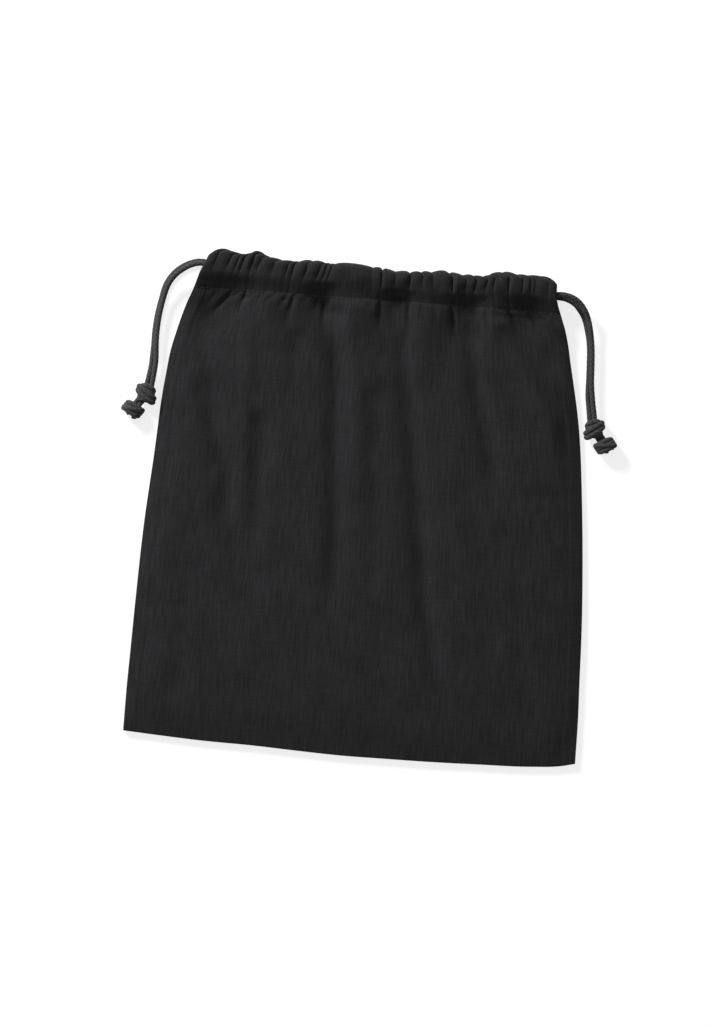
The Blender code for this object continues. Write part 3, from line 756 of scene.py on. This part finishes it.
def header_row(is_front, kind, value, gathers, gathered, x, left, right):
    """A row of the header, bent over its puckers: outer face, fold, or the flap turned inside."""
    up = (value - STITCH_Y) / (FOLD_Y - STITCH_Y) if kind == "outer" else 1.0
    pucker = pucker_height(is_front, gathers, gathered, up)
    y, z = casing_height(is_front, kind, value, pucker)
    y = np.zeros(len(x)) + y
    z = np.zeros(len(x)) + z
    turned = 1.0 if kind == "inner" else smooth(value / math.pi) if kind == "fold" else 0.0
    x = x * (1 - turned * (1 - FLAP_REACH / np.where(x < 0, left, right)))
    if is_front and kind != "fold":
        z = z + under_casing(x, y)
    if is_front and kind == "inner":
        near_stitch = 1 - smooth((y - STITCH_Y) / (4 * MM))
        z = z - crease_trails(gathers, x, y) * CREASE_DEPTH * near_stitch
        z = np.where(y > STITCH_Y, np.maximum(z, LOWEST_FRONT_FLAP), z)
    if kind == "outer":
        swell = np.sin(math.pi * np.clip(up, 0, 1)) * is_front
        z = z + 0.4 * MM * swell * (1 + soft_noise(x, y, 0.016, 29))
    if kind != "inner":
        top = curve_through(in_metres(TOP_EDGE), x) - TOP_Y
        notch = 0.9 * MM * (pucker / PUCKER_HEIGHT - 1) if is_front else 0.0
        y = y + (top + notch) * smooth((y - STITCH_Y) / (FOLD_Y - STITCH_Y))
    return x, y, z


def panel_sheet(is_front):
    """The grid of one panel: points, and the flat place of each in millimetres for its weave."""
    gathers = FRONT_GATHERS if is_front else BACK_GATHERS
    body_height = front_height if is_front else back_height
    columns = sheet_columns()
    rows = sheet_rows()
    share = np.array([np.clip(c[1], -1, 1) if c[0] == "panel" else math.copysign(1, c[1])
                      for c in columns])
    gathered = header_places(gathers, (share + 1) / 2)
    points = np.zeros((len(rows), len(columns), 3))
    flat = np.zeros((len(rows), len(columns), 2))
    for r, (kind, value) in enumerate(rows):
        y = row_place(kind, value, share)
        left, right = reach(y)
        blend = smooth((y - 30 * MM) / (STITCH_Y - 30 * MM))
        loose = np.where(share < 0, share * left, share * right)
        drawn = gathered / HEADER_REACH * np.where(gathered < 0, left, right)
        x = loose + (drawn - loose) * blend
        x = x + sway(x, y) * smooth((y - 80 * MM) / (30 * MM))
        if kind in ("outer", "fold", "inner"):
            x, y, z = header_row(is_front, kind, value, gathers, gathered, x, left, right)
        else:
            z = body_height(x, y, left, right)
        points[r] = np.stack(turned_in(kind, value, columns, x, y, z, is_front), axis=1)
        if r:
            step = float(np.median(np.linalg.norm(points[r] - points[r - 1], axis=1)))
            flat[r, :, 1] = flat[r - 1, :, 1] + step
    steps = np.linalg.norm(np.diff(points[len(rows) // 2], axis=0), axis=1)
    flat[:, :, 0] = np.concatenate([[0.0], np.cumsum(steps)])[None, :]
    return points, flat / MM


def turned_in(kind, value, columns, x, y, z, is_front):
    """Turns the panel's side and bottom allowances in between the layers."""
    inwards = -1 if is_front else 1
    body = kind in ("allowance", "curl", "body", "upper")
    room = 1 - smooth((y - 122 * MM) / (6 * MM)) if body else np.zeros_like(y)
    x, y, z = x.copy(), y.copy(), z.copy()
    sunk = np.zeros_like(z)
    for c, (column, amount) in enumerate(columns):
        if column == "panel":
            continue
        side = math.copysign(1, amount)
        curl = EDGE_CURL * (0.35 + 0.65 * room[c])
        if column == "curl":
            x[c] += side * curl * math.sin(abs(amount))
            sunk[c] = curl * (1 - math.cos(amount))
        else:
            x[c] -= side * abs(amount) * (0.12 + 0.88 * room[c])
            sunk[c] = 2 * curl
    if kind == "curl":
        y -= EDGE_CURL * math.sin(value)
        sunk = np.maximum(sunk, EDGE_CURL * (1 - math.cos(value)))
    elif kind == "allowance":
        y += value * (0.1 + 0.9 * smooth((HALF_WIDTH - 2 * MM - np.abs(x)) / (9 * MM)))
        sunk = np.maximum(sunk, 2 * EDGE_CURL)
    z += inwards * sunk
    return x, y, z


# ---------------------------------------------------------------- tubes


def tube(path, radius, sides, relief=None):
    """Points, faces and millimetre places of a closed tube along an evenly stepped path."""
    path = np.asarray(path, float)
    tangents = np.gradient(path, axis=0)
    tangents /= np.linalg.norm(tangents, axis=1)[:, None]
    normal = np.cross(tangents[0], (0.0, 0.0, 1.0))
    if np.linalg.norm(normal) < 0.2:
        normal = np.cross(tangents[0], (1.0, 0.0, 0.0))
    normals = []
    for tangent in tangents:
        normal = normal - tangent * np.dot(normal, tangent)
        normal = normal / np.linalg.norm(normal)
        normals.append(normal)
    normals = np.array(normals)
    others = np.cross(tangents, normals)
    along = np.concatenate([[0.0], np.cumsum(np.linalg.norm(np.diff(path, axis=0), axis=1))])
    angles = np.arange(sides + 1) * math.tau / sides
    radius = np.broadcast_to(np.asarray(radius, float), (len(path),))
    shape = np.ones((len(path), sides + 1))
    if relief is not None:
        shape = shape + relief(angles[None, :], along[:, None])
    rings = radius[:, None] * shape
    points = (path[:, None, :] + rings[..., None] * (
        np.cos(angles)[None, :, None] * normals[:, None, :]
        + np.sin(angles)[None, :, None] * others[:, None, :]))
    place = np.stack(np.broadcast_arrays(
        angles[None, :] * np.mean(radius), along[:, None]), axis=-1) / MM
    points = points.reshape(-1, 3)
    place = place.reshape(-1, 2)
    faces = grid_faces(len(path), sides + 1)[:, ::-1].tolist()
    for r in (0, len(path) - 1):
        first, hub = r * (sides + 1), len(points)
        points = np.vstack([points, path[r]])
        place = np.vstack([place, place[first]])
        for a in range(first, first + sides):
            faces.append([a + 1, a, hub] if r else [a, a + 1, hub])
    return points, faces, place


def braid(angle, along):
    """Relief of eight braided yarns on a cord, as a share of its radius."""
    turn = along * math.tau / (5.8 * MM)
    one = np.sin(4 * angle + 2 * turn)
    other = np.sin(4 * angle - 2 * turn)
    return 0.035 * (np.maximum(one, other) - 0.35)


def join_tubes(name, tubes, material):
    """One mesh of several closed tubes."""
    points, faces, places = [], [], []
    base = 0
    for tube_points, tube_faces, tube_places in tubes:
        points.append(tube_points)
        places.append(tube_places)
        faces += [[i + base for i in face] for face in tube_faces]
        base += len(tube_points)
    obj = mesh_object(name, np.vstack(points), faces, material, np.vstack(places))
    weld_seams(obj)
    return obj


def weld_seams(obj):
    """Closes each tube along the line where its rings begin and end."""
    solid = bmesh.new()
    solid.from_mesh(obj.data)
    bmesh.ops.remove_doubles(solid, verts=solid.verts[:], dist=1e-6)
    bmesh.ops.recalc_face_normals(solid, faces=solid.faces[:])
    solid.to_mesh(obj.data)
    solid.free()
    obj.data.shade_smooth()


# ---------------------------------------------------------------- cords


def lay_at(share, column):
    """A column of STRAND_LAY at a share of the strand's way."""
    for low, high in zip(STRAND_LAY, STRAND_LAY[1:]):
        if share <= high[0]:
            blend = float(smooth((share - low[0]) / (high[0] - low[0])))
            return low[column] + (high[column] - low[column]) * blend
    return STRAND_LAY[-1][column]


def strand_path(route, upper):
    """The way of one strand, from inside the casing to just inside its main knot."""
    side = math.copysign(1, route[0][0])
    way = evenly(smooth_way(route), 0.5 * MM)
    path = []
    for i, (x, y) in enumerate(way):
        share = i / (len(way) - 1)
        before, after = way[max(i - 1, 0)], way[min(i + 1, len(way) - 1)]
        along = (after - before) / np.linalg.norm(after - before)
        apart = lay_at(share, 1) * (1 if upper else -1)
        path.append((x - along[1] * apart, y + along[0] * apart, lay_at(share, 2 if upper else 3)))
    path = np.array(path)
    start = np.array([[side * CASING_RUN_X, route[0][1], path[0][2]]])
    heading = path[-1] - path[-3]
    heading /= np.linalg.norm(heading)
    inside = path[-1] + heading * KNOT_ENTRY
    return evenly(smooth_way(np.vstack([start, path[::6], path[-1:], inside[None, :]]), 6), 0.4 * MM)


def loop_path(side, y):
    """The cord inside the casings, from its own side round the far end and back."""
    low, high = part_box("left_cord_loop" if side < 0 else "right_cord_loop")
    radius = (FRONT_CASING_Z - BACK_CASING_Z) / 2
    far = (high.x if side < 0 else -low.x) - CORD / 2 - radius
    end_x = side * (CASING_RUN_X - 0.1 * MM)
    path = [(end_x, y, FRONT_CASING_Z)]
    for angle in np.linspace(0, math.pi, 25):
        z = (FRONT_CASING_Z + BACK_CASING_Z) / 2 + radius * math.cos(angle)
        path.append((-side * (far + radius * math.sin(angle)), y, z))
    path.append((end_x, y, BACK_CASING_Z))
    return evenly(np.array(path), 0.7 * MM)


def knot_frame(centre, towards, height):
    """Axes of a knot that lies on the table: across the cords, along them, up."""
    along = np.array([towards[0] - centre[0], towards[1] - centre[1], 0.0])
    along /= np.linalg.norm(along)
    across = np.array([along[1], -along[0], 0.0])
    return np.array([centre[0], centre[1], height]), across, along


def wrap(half_across, half_up, along, tilt, radius):
    """One turn of cord round a knot: over the top and back underneath, tilted, in knot axes."""
    angle = np.linspace(0, math.tau, 61) + math.pi / 2
    across = (half_across - radius) * np.sign(np.cos(angle)) * np.abs(np.cos(angle)) ** 0.85
    up = (half_up - radius) * np.sin(angle)
    drawn_in = 0.62 + 0.38 * np.abs(np.sin(angle))
    return np.stack([across, along * drawn_in + tilt * across, up], axis=1)


def knot_turns(table, half_up, lean):
    """The turns of a knot's table: the way of each and the radius of its cord."""
    return [(wrap(across * MM, half_up - lower * MM, along * MM, tilt * lean, radius), radius)
            for across, lower, along, tilt, radius in table]


def knot_piece(name, centre, towards, half_up, ways, material):
    """A tied knot from the ways of its cords, each with its radius, in the knot's own axes:
    across the entering strands, back along them, up from its middle."""
    middle, across, along = knot_frame(centre, towards, half_up + KNOT_LIFT)
    tubes = []
    for way, radius in ways:
        world = middle + way[:, :1] * across + way[:, 1:2] * along + way[:, 2:3] * (0, 0, 1)
        world[:, 2] = np.maximum(world[:, 2], radius + 0.2 * MM)
        tubes.append(tube(evenly(world, 0.35 * MM), radius, 22, braid))
    return join_tubes(name, tubes, material)


# ---------------------------------------------------------------- settings


class SackClothSettings(bpy.types.PropertyGroup):
    dark_hex: bpy.props.StringProperty(
        name="Dark threads", description="sRGB colour of the thin threads", default="#1c1c1d")
    light_hex: bpy.props.StringProperty(
        name="Light threads", description="sRGB colour of the slubs", default="#2f2f31")
    weave_pitch: bpy.props.FloatProperty(
        name="Weave pitch", description="Distance between drawn threads", default=0.9 * MM,
        unit="LENGTH")
    thickness: bpy.props.FloatProperty(
        name="Cloth thickness", description="Thickness of the cotton", default=CLOTH, unit="LENGTH")


class SackCordSettings(bpy.types.PropertyGroup):
    # The dark colour is painted shade in the grooves between the yarns
    dark_hex: bpy.props.StringProperty(
        name="Yarn grooves", description="sRGB colour between the yarns", default="#262627")
    light_hex: bpy.props.StringProperty(
        name="Yarns", description="sRGB colour of the yarns", default="#4c4c4e")
    diameter: bpy.props.FloatProperty(
        name="Cord diameter", description="Diameter of the cotton cord", default=CORD, unit="LENGTH")


class SackThreadSettings(bpy.types.PropertyGroup):
    # The dark colour is painted shade in the grooves between the plies
    dark_hex: bpy.props.StringProperty(
        name="Ply grooves", description="sRGB colour between the plies", default="#101011")
    light_hex: bpy.props.StringProperty(
        name="Plies", description="sRGB colour of the plies", default="#242425")
    diameter: bpy.props.FloatProperty(
        name="Thread diameter", description="Diameter of the sewing thread", default=THREAD,
        unit="LENGTH")


class SackStageSettings(bpy.types.PropertyGroup):
    key_power: bpy.props.FloatProperty(
        name="Key light", description="Power of the soft lamp at the upper left", default=46.0,
        unit="POWER")
    sky: bpy.props.FloatProperty(
        name="Sky", description="Strength of the even light from all round", default=0.22,
        subtype="FACTOR")
    view_height: bpy.props.FloatProperty(
        name="View height", description="How far above the sack the camera stands", default=2.4,
        unit="LENGTH")


# ---------------------------------------------------------------- operators


class SACK_OT_stage(bpy.types.Operator):
    """Sets up the floor, the soft lights and the camera that looks straight down"""

    bl_idname = "sack.stage"
    bl_label = "Stage"

    def execute(self, context):
        settings = context.scene.sack_stage
        scene = context.scene
        scene.view_settings.view_transform = "Standard"
        add_floor()
        add_world(settings.sky)
        add_lamp("key", settings.key_power, KEY_PLACE, KEY_SIZE)
        add_camera(scene, settings.view_height)
        return {"FINISHED"}


def add_floor():
    """A matt white floor with a glow that only the camera sees, so that it stays pure white."""
    bpy.ops.mesh.primitive_plane_add(size=FLOOR_SIZE, location=(0.0, 0.0, 0.0))
    floor = bpy.context.object
    floor.name = "studio_floor"
    material, tree = new_material("matt_white_paper")
    paper = add_node(tree, "ShaderNodeBsdfDiffuse", {"Color": linear("#fbfbfb")})
    glow = add_node(tree, "ShaderNodeEmission", {"Color": (1, 1, 1, 1), "Strength": 1.3})
    ray = add_node(tree, "ShaderNodeLightPath")
    seen = add_node(tree, "ShaderNodeMath", {"operation": "MULTIPLY", 1: 0.6},
                    {0: ray.outputs["Is Camera Ray"]})
    both = add_node(tree, "ShaderNodeMixShader", links={
        0: seen.outputs[0], 1: paper.outputs[0], 2: glow.outputs[0]})
    add_node(tree, "ShaderNodeOutputMaterial", links={"Surface": both.outputs[0]})
    floor.data.materials.append(material)


def add_world(strength):
    """Even light from all round; camera, gloss and glass see a plain white instead."""
    world = bpy.data.worlds.new("white_studio")
    bpy.context.scene.world = world
    world.use_nodes = True
    tree = world.node_tree
    tree.nodes.clear()
    ray = add_node(tree, "ShaderNodeLightPath")
    seen = add_node(tree, "ShaderNodeMath", {"operation": "MAXIMUM"}, {
        0: ray.outputs["Is Camera Ray"], 1: ray.outputs["Is Glossy Ray"]})
    seen = add_node(tree, "ShaderNodeMath", {"operation": "MAXIMUM"}, {
        0: seen.outputs[0], 1: ray.outputs["Is Transmission Ray"]})
    light = add_node(tree, "ShaderNodeBackground", {"Color": (1, 1, 1, 1), "Strength": strength})
    white = add_node(tree, "ShaderNodeBackground", {"Color": (1, 1, 1, 1), "Strength": 1.0})
    both = add_node(tree, "ShaderNodeMixShader", links={
        0: seen.outputs[0], 1: light.outputs[0], 2: white.outputs[0]})
    add_node(tree, "ShaderNodeOutputWorld", links={"Surface": both.outputs[0]})


def add_lamp(name, power, place, size):
    """A round soft lamp that points at the middle of the sack."""
    lamp = bpy.data.lights.new(name, "AREA")
    lamp.energy = power
    lamp.shape = "DISK"
    lamp.size = size
    obj = bpy.data.objects.new(name, lamp)
    bpy.context.scene.collection.objects.link(obj)
    obj.location = place
    obj.rotation_euler = (Vector((0, 0, 0)) - Vector(place)).to_track_quat("-Z", "Y").to_euler()


def add_camera(scene, height):
    """Looks straight down and takes in VIEW_SPAN at the sack, from top to bottom."""
    camera = bpy.data.cameras.new("camera")
    camera.sensor_fit = "VERTICAL"
    camera.sensor_height = 36.0
    camera.lens = camera.sensor_height * height / VIEW_SPAN
    obj = bpy.data.objects.new("camera", camera)
    scene.collection.objects.link(obj)
    obj.location = (*VIEW_CENTRE[:2], height + VIEW_CENTRE[2])
    obj.rotation_euler = (0.0, 0.0, VIEW_TURN)
    scene.camera = obj


class SACK_OT_cords(bpy.types.Operator):
    """Makes both drawcords: loop in the casings, two free strands and two knots each"""

    bl_idname = "sack.cords"
    bl_label = "Drawcords"

    def execute(self, context):
        settings = context.scene.sack_cord
        material = kept_material("braided_cotton_cord", braided_cotton_cord, settings)
        for hand, side, y, route in (
            ("left", -1, LEFT_CORD_Y, LEFT_ROUTE), ("right", 1, RIGHT_CORD_Y, RIGHT_ROUTE)
        ):
            make_drawcord(hand, side, y, route, settings.diameter, material)
        return {"FINISHED"}


def make_drawcord(hand, side, y, route, diameter, material):
    """The loop, the two strands and the two knots of one hand's cord."""
    radius = diameter / 2
    loop = join_tubes(f"{hand}_casing_cord", [tube(loop_path(side, y), radius, 20, braid)], material)
    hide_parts(f"{hand}_cord_loop")
    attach(loop, f"{hand}_cord")
    knots = make_knots(hand, route, material)
    for upper in (True, False):
        path = strand_path(route, upper)
        which = "upper" if upper else "lower"
        strand = join_tubes(f"{hand}_{which}_cord", [tube(path, radius, 32, braid)], material)
        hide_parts(f"{hand}_{which}_strand")
        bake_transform(strand)


def make_knots(hand, route, material):
    """The overhand knot that ties the strands, and the ball knot at their ends with two tips."""
    main, end = KNOT_CENTRES[hand]
    lean = 1 if hand == "right" else -1
    low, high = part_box(f"{hand}_main_knot")
    half_up = (high.z - low.z) / 2
    main_knot = knot_piece(f"{hand}_overhand_knot", main, route[-1], half_up,
                           knot_turns(MAIN_KNOT_TURNS, half_up, lean), material)
    low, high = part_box(f"{hand}_end_knot")
    half_up = (high.z - low.z) / 2
    apart = math.dist(main, end)
    neck = np.array([(0.0, apart - 2.5 * MM, 0.4 * MM), (0.0, apart / 2, 0.2 * MM),
                     (0.0, 1 * MM, 0.4 * MM)])
    ways = [(neck + (x * MM, 0.0, 0.0), THIN_TURN) for x in (-NECK_HALF_GAP, NECK_HALF_GAP)]
    ways += knot_turns(END_KNOT_TURNS, half_up, lean)
    tip = np.array(TIP_WAY) * MM
    ways += [(tip * (side, 1, 1) + (x * MM, 0, 0), THIN_TURN) for side, x in TIPS]
    end_knot = knot_piece(f"{hand}_end_ball_knot", end, main, half_up, ways, material)
    for knot, node in ((main_knot, "main_knot"), (end_knot, "end_knot")):
        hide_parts(f"{hand}_{node}")
        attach(knot, f"{hand}_tail")
    return [main_knot, end_knot]


class SACK_OT_cloth(bpy.types.Operator):
    """Makes the front and back panels with their gathered casings"""

    bl_idname = "sack.cloth"
    bl_label = "Cloth panels"

    def execute(self, context):
        settings = context.scene.sack_cloth
        material = kept_material("plain_woven_slub_cotton", plain_woven_slub_cotton, settings)
        for name, node, is_front in (
            ("front_cloth", "front_panel", True), ("back_cloth", "back_panel", False)
        ):
            points, flat = panel_sheet(is_front)
            rows, columns = points.shape[:2]
            faces = grid_faces(rows, columns)
            if not is_front:
                faces = faces[:, ::-1]
            cloth = mesh_object(name, points.reshape(-1, 3), faces.tolist(), material,
                                flat.reshape(-1, 2))
            add_thickness(cloth, settings.thickness)
            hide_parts(node)
            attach(cloth, "sack")
        return {"FINISHED"}


class SACK_OT_stitching(bpy.types.Operator):
    """Makes the rows of lockstitch that close the two casings"""

    bl_idname = "sack.stitching"
    bl_label = "Casing stitches"

    def execute(self, context):
        settings = context.scene.sack_thread
        material = kept_material("spun_polyester_thread", spun_polyester_thread, settings)
        for name, node, is_front in (
            ("front_lockstitch", "front_casing_stitch", True),
            ("back_lockstitch", "back_casing_stitch", False),
        ):
            row = join_tubes(name, stitch_tubes(is_front, settings.diameter / 2), material)
            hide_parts(node)
            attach(row, "sack")
        return {"FINISHED"}


def stitch_line(is_front):
    """The line on the outer cloth that the casing stitch follows, and which way is out."""
    gathers = FRONT_GATHERS if is_front else BACK_GATHERS
    out = 1 if is_front else -1
    x = header_places(gathers, np.linspace(0.004, 0.996, 2400))
    y = np.full(len(x), STITCH_Y)
    z = casing_height(is_front, "outer", STITCH_Y, pucker_height(is_front, gathers, x, 0.0))[1]
    left, right = reach(y)
    x = x / HEADER_REACH * np.where(x < 0, left, right)
    x = x + sway(x, y)
    if is_front:
        z = z + under_casing(x, y)
    return np.stack([x, y, z + out * CLOTH / 2], axis=1), out


def stitch_tubes(is_front, radius):
    """One tube for each stitch, whose ends dip into the cloth."""
    line, out = stitch_line(is_front)
    line = evenly(line, THREAD_STEP)
    span = round((STITCH_LENGTH + STITCH_GAP) / THREAD_STEP)
    keep = round(STITCH_LENGTH / THREAD_STEP)
    tubes = []
    for start in range(0, len(line) - keep, span):
        stitch = line[start:start + keep + 1].copy()
        dip = np.linspace(-1, 1, len(stitch)) ** 4
        stitch[:, 2] += out * radius * (0.1 - 1.6 * dip)
        tubes.append(tube(stitch, radius, 8))
    return tubes


class SACK_OT_seams(bpy.types.Operator):
    """Makes the overlocking thread round the seam allowances inside the sack"""

    bl_idname = "sack.seams"
    bl_label = "Overlocked seams"

    def execute(self, context):
        settings = context.scene.sack_thread
        material = kept_material("spun_polyester_thread", spun_polyester_thread, settings)
        radius = settings.diameter / 2
        for name, node in (
            ("left_overlock", "left_side_seam"), ("right_overlock", "right_side_seam"),
            ("bottom_overlock", "bottom_seam"),
        ):
            line = seam_line(name.split("_")[0])
            seam = join_tubes(name, [tube(overlock_path(*line), radius, 6)], material)
            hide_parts(node)
            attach(seam, "sack")
        return {"FINISHED"}


def seam_line(which):
    """Middle of the overlocked strip, and the direction in which it lies inwards."""
    if which == "bottom":
        end = HALF_WIDTH - BOTTOM_OVERLOCK_ENDS
        x = np.linspace(-end, end, 600)
        y = curve_through(in_metres(BOTTOM_EDGE), x) + ALLOWANCE - OVERLOCK_INSET
        return np.stack([x, y, np.full(len(x), BOTTOM_OVERLOCK_Z)], axis=1), (0.0, 1.0, 0.0)
    side = -1 if which == "left" else 1
    y = np.linspace(*SIDE_OVERLOCK_Y, 600)
    left, right = reach(y)
    x = side * ((left if side < 0 else right) - ALLOWANCE + OVERLOCK_INSET)
    z = curve_through(in_metres(SEAM_LINE), y)
    return np.stack([x, y, z], axis=1), (-side, 0.0, 0.0)


def overlock_path(line, inwards):
    """A thread that loops round the raw edges of both allowances."""
    line = evenly(line, THREAD_STEP)
    angle = np.arange(len(line)) * THREAD_STEP / OVERLOCK_PITCH * math.tau
    return line + (OVERLOCK_HALF_WIDTH * np.cos(angle))[:, None] * inwards + (
        OVERLOCK_HALF_HEIGHT * np.sin(angle))[:, None] * np.array([0.0, 0.0, 1.0])


class SACK_PT_panel(bpy.types.Panel):
    """Lists the sack's pieces and their settings"""

    bl_idname = "SACK_PT_panel"
    bl_label = "Gift Sack"
    bl_space_type = "VIEW_3D"
    bl_region_type = "UI"
    bl_category = "Gift Sack"

    def draw(self, context):
        scene = context.scene
        for settings, operator in (
            (scene.sack_stage, "sack.stage"), (scene.sack_cord, "sack.cords"),
            (scene.sack_cloth, "sack.cloth"), (scene.sack_thread, "sack.stitching"),
            (scene.sack_thread, "sack.seams"),
        ):
            box = self.layout.box()
            for name in settings.bl_rna.properties.keys():
                if name not in ("rna_type", "name"):
                    box.prop(settings, name)
            box.operator(operator)


SETTINGS = {
    "sack_stage": SackStageSettings,
    "sack_cord": SackCordSettings,
    "sack_cloth": SackClothSettings,
    "sack_thread": SackThreadSettings,
}
CLASSES = (
    *SETTINGS.values(), SACK_OT_stage, SACK_OT_cords, SACK_OT_cloth, SACK_OT_stitching,
    SACK_OT_seams, SACK_PT_panel,
)


def register():
    for cls in CLASSES:
        bpy.utils.register_class(cls)
    for name, cls in SETTINGS.items():
        setattr(bpy.types.Scene, name, bpy.props.PointerProperty(type=cls))


def unregister():
    for name in SETTINGS:
        delattr(bpy.types.Scene, name)
    for cls in reversed(CLASSES):
        bpy.utils.unregister_class(cls)


def main():
    """Clears the start-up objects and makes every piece."""
    for obj in list(bpy.data.objects):
        if obj.name in ("Cube", "Light", "Camera"):
            bpy.data.objects.remove(obj, do_unlink=True)
    register()
    bpy.ops.sack.stage()
    bpy.ops.sack.cords()
    bpy.ops.sack.cloth()
    bpy.ops.sack.stitching()
    bpy.ops.sack.seams()
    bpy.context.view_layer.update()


if __name__ == "__main__":
    main()
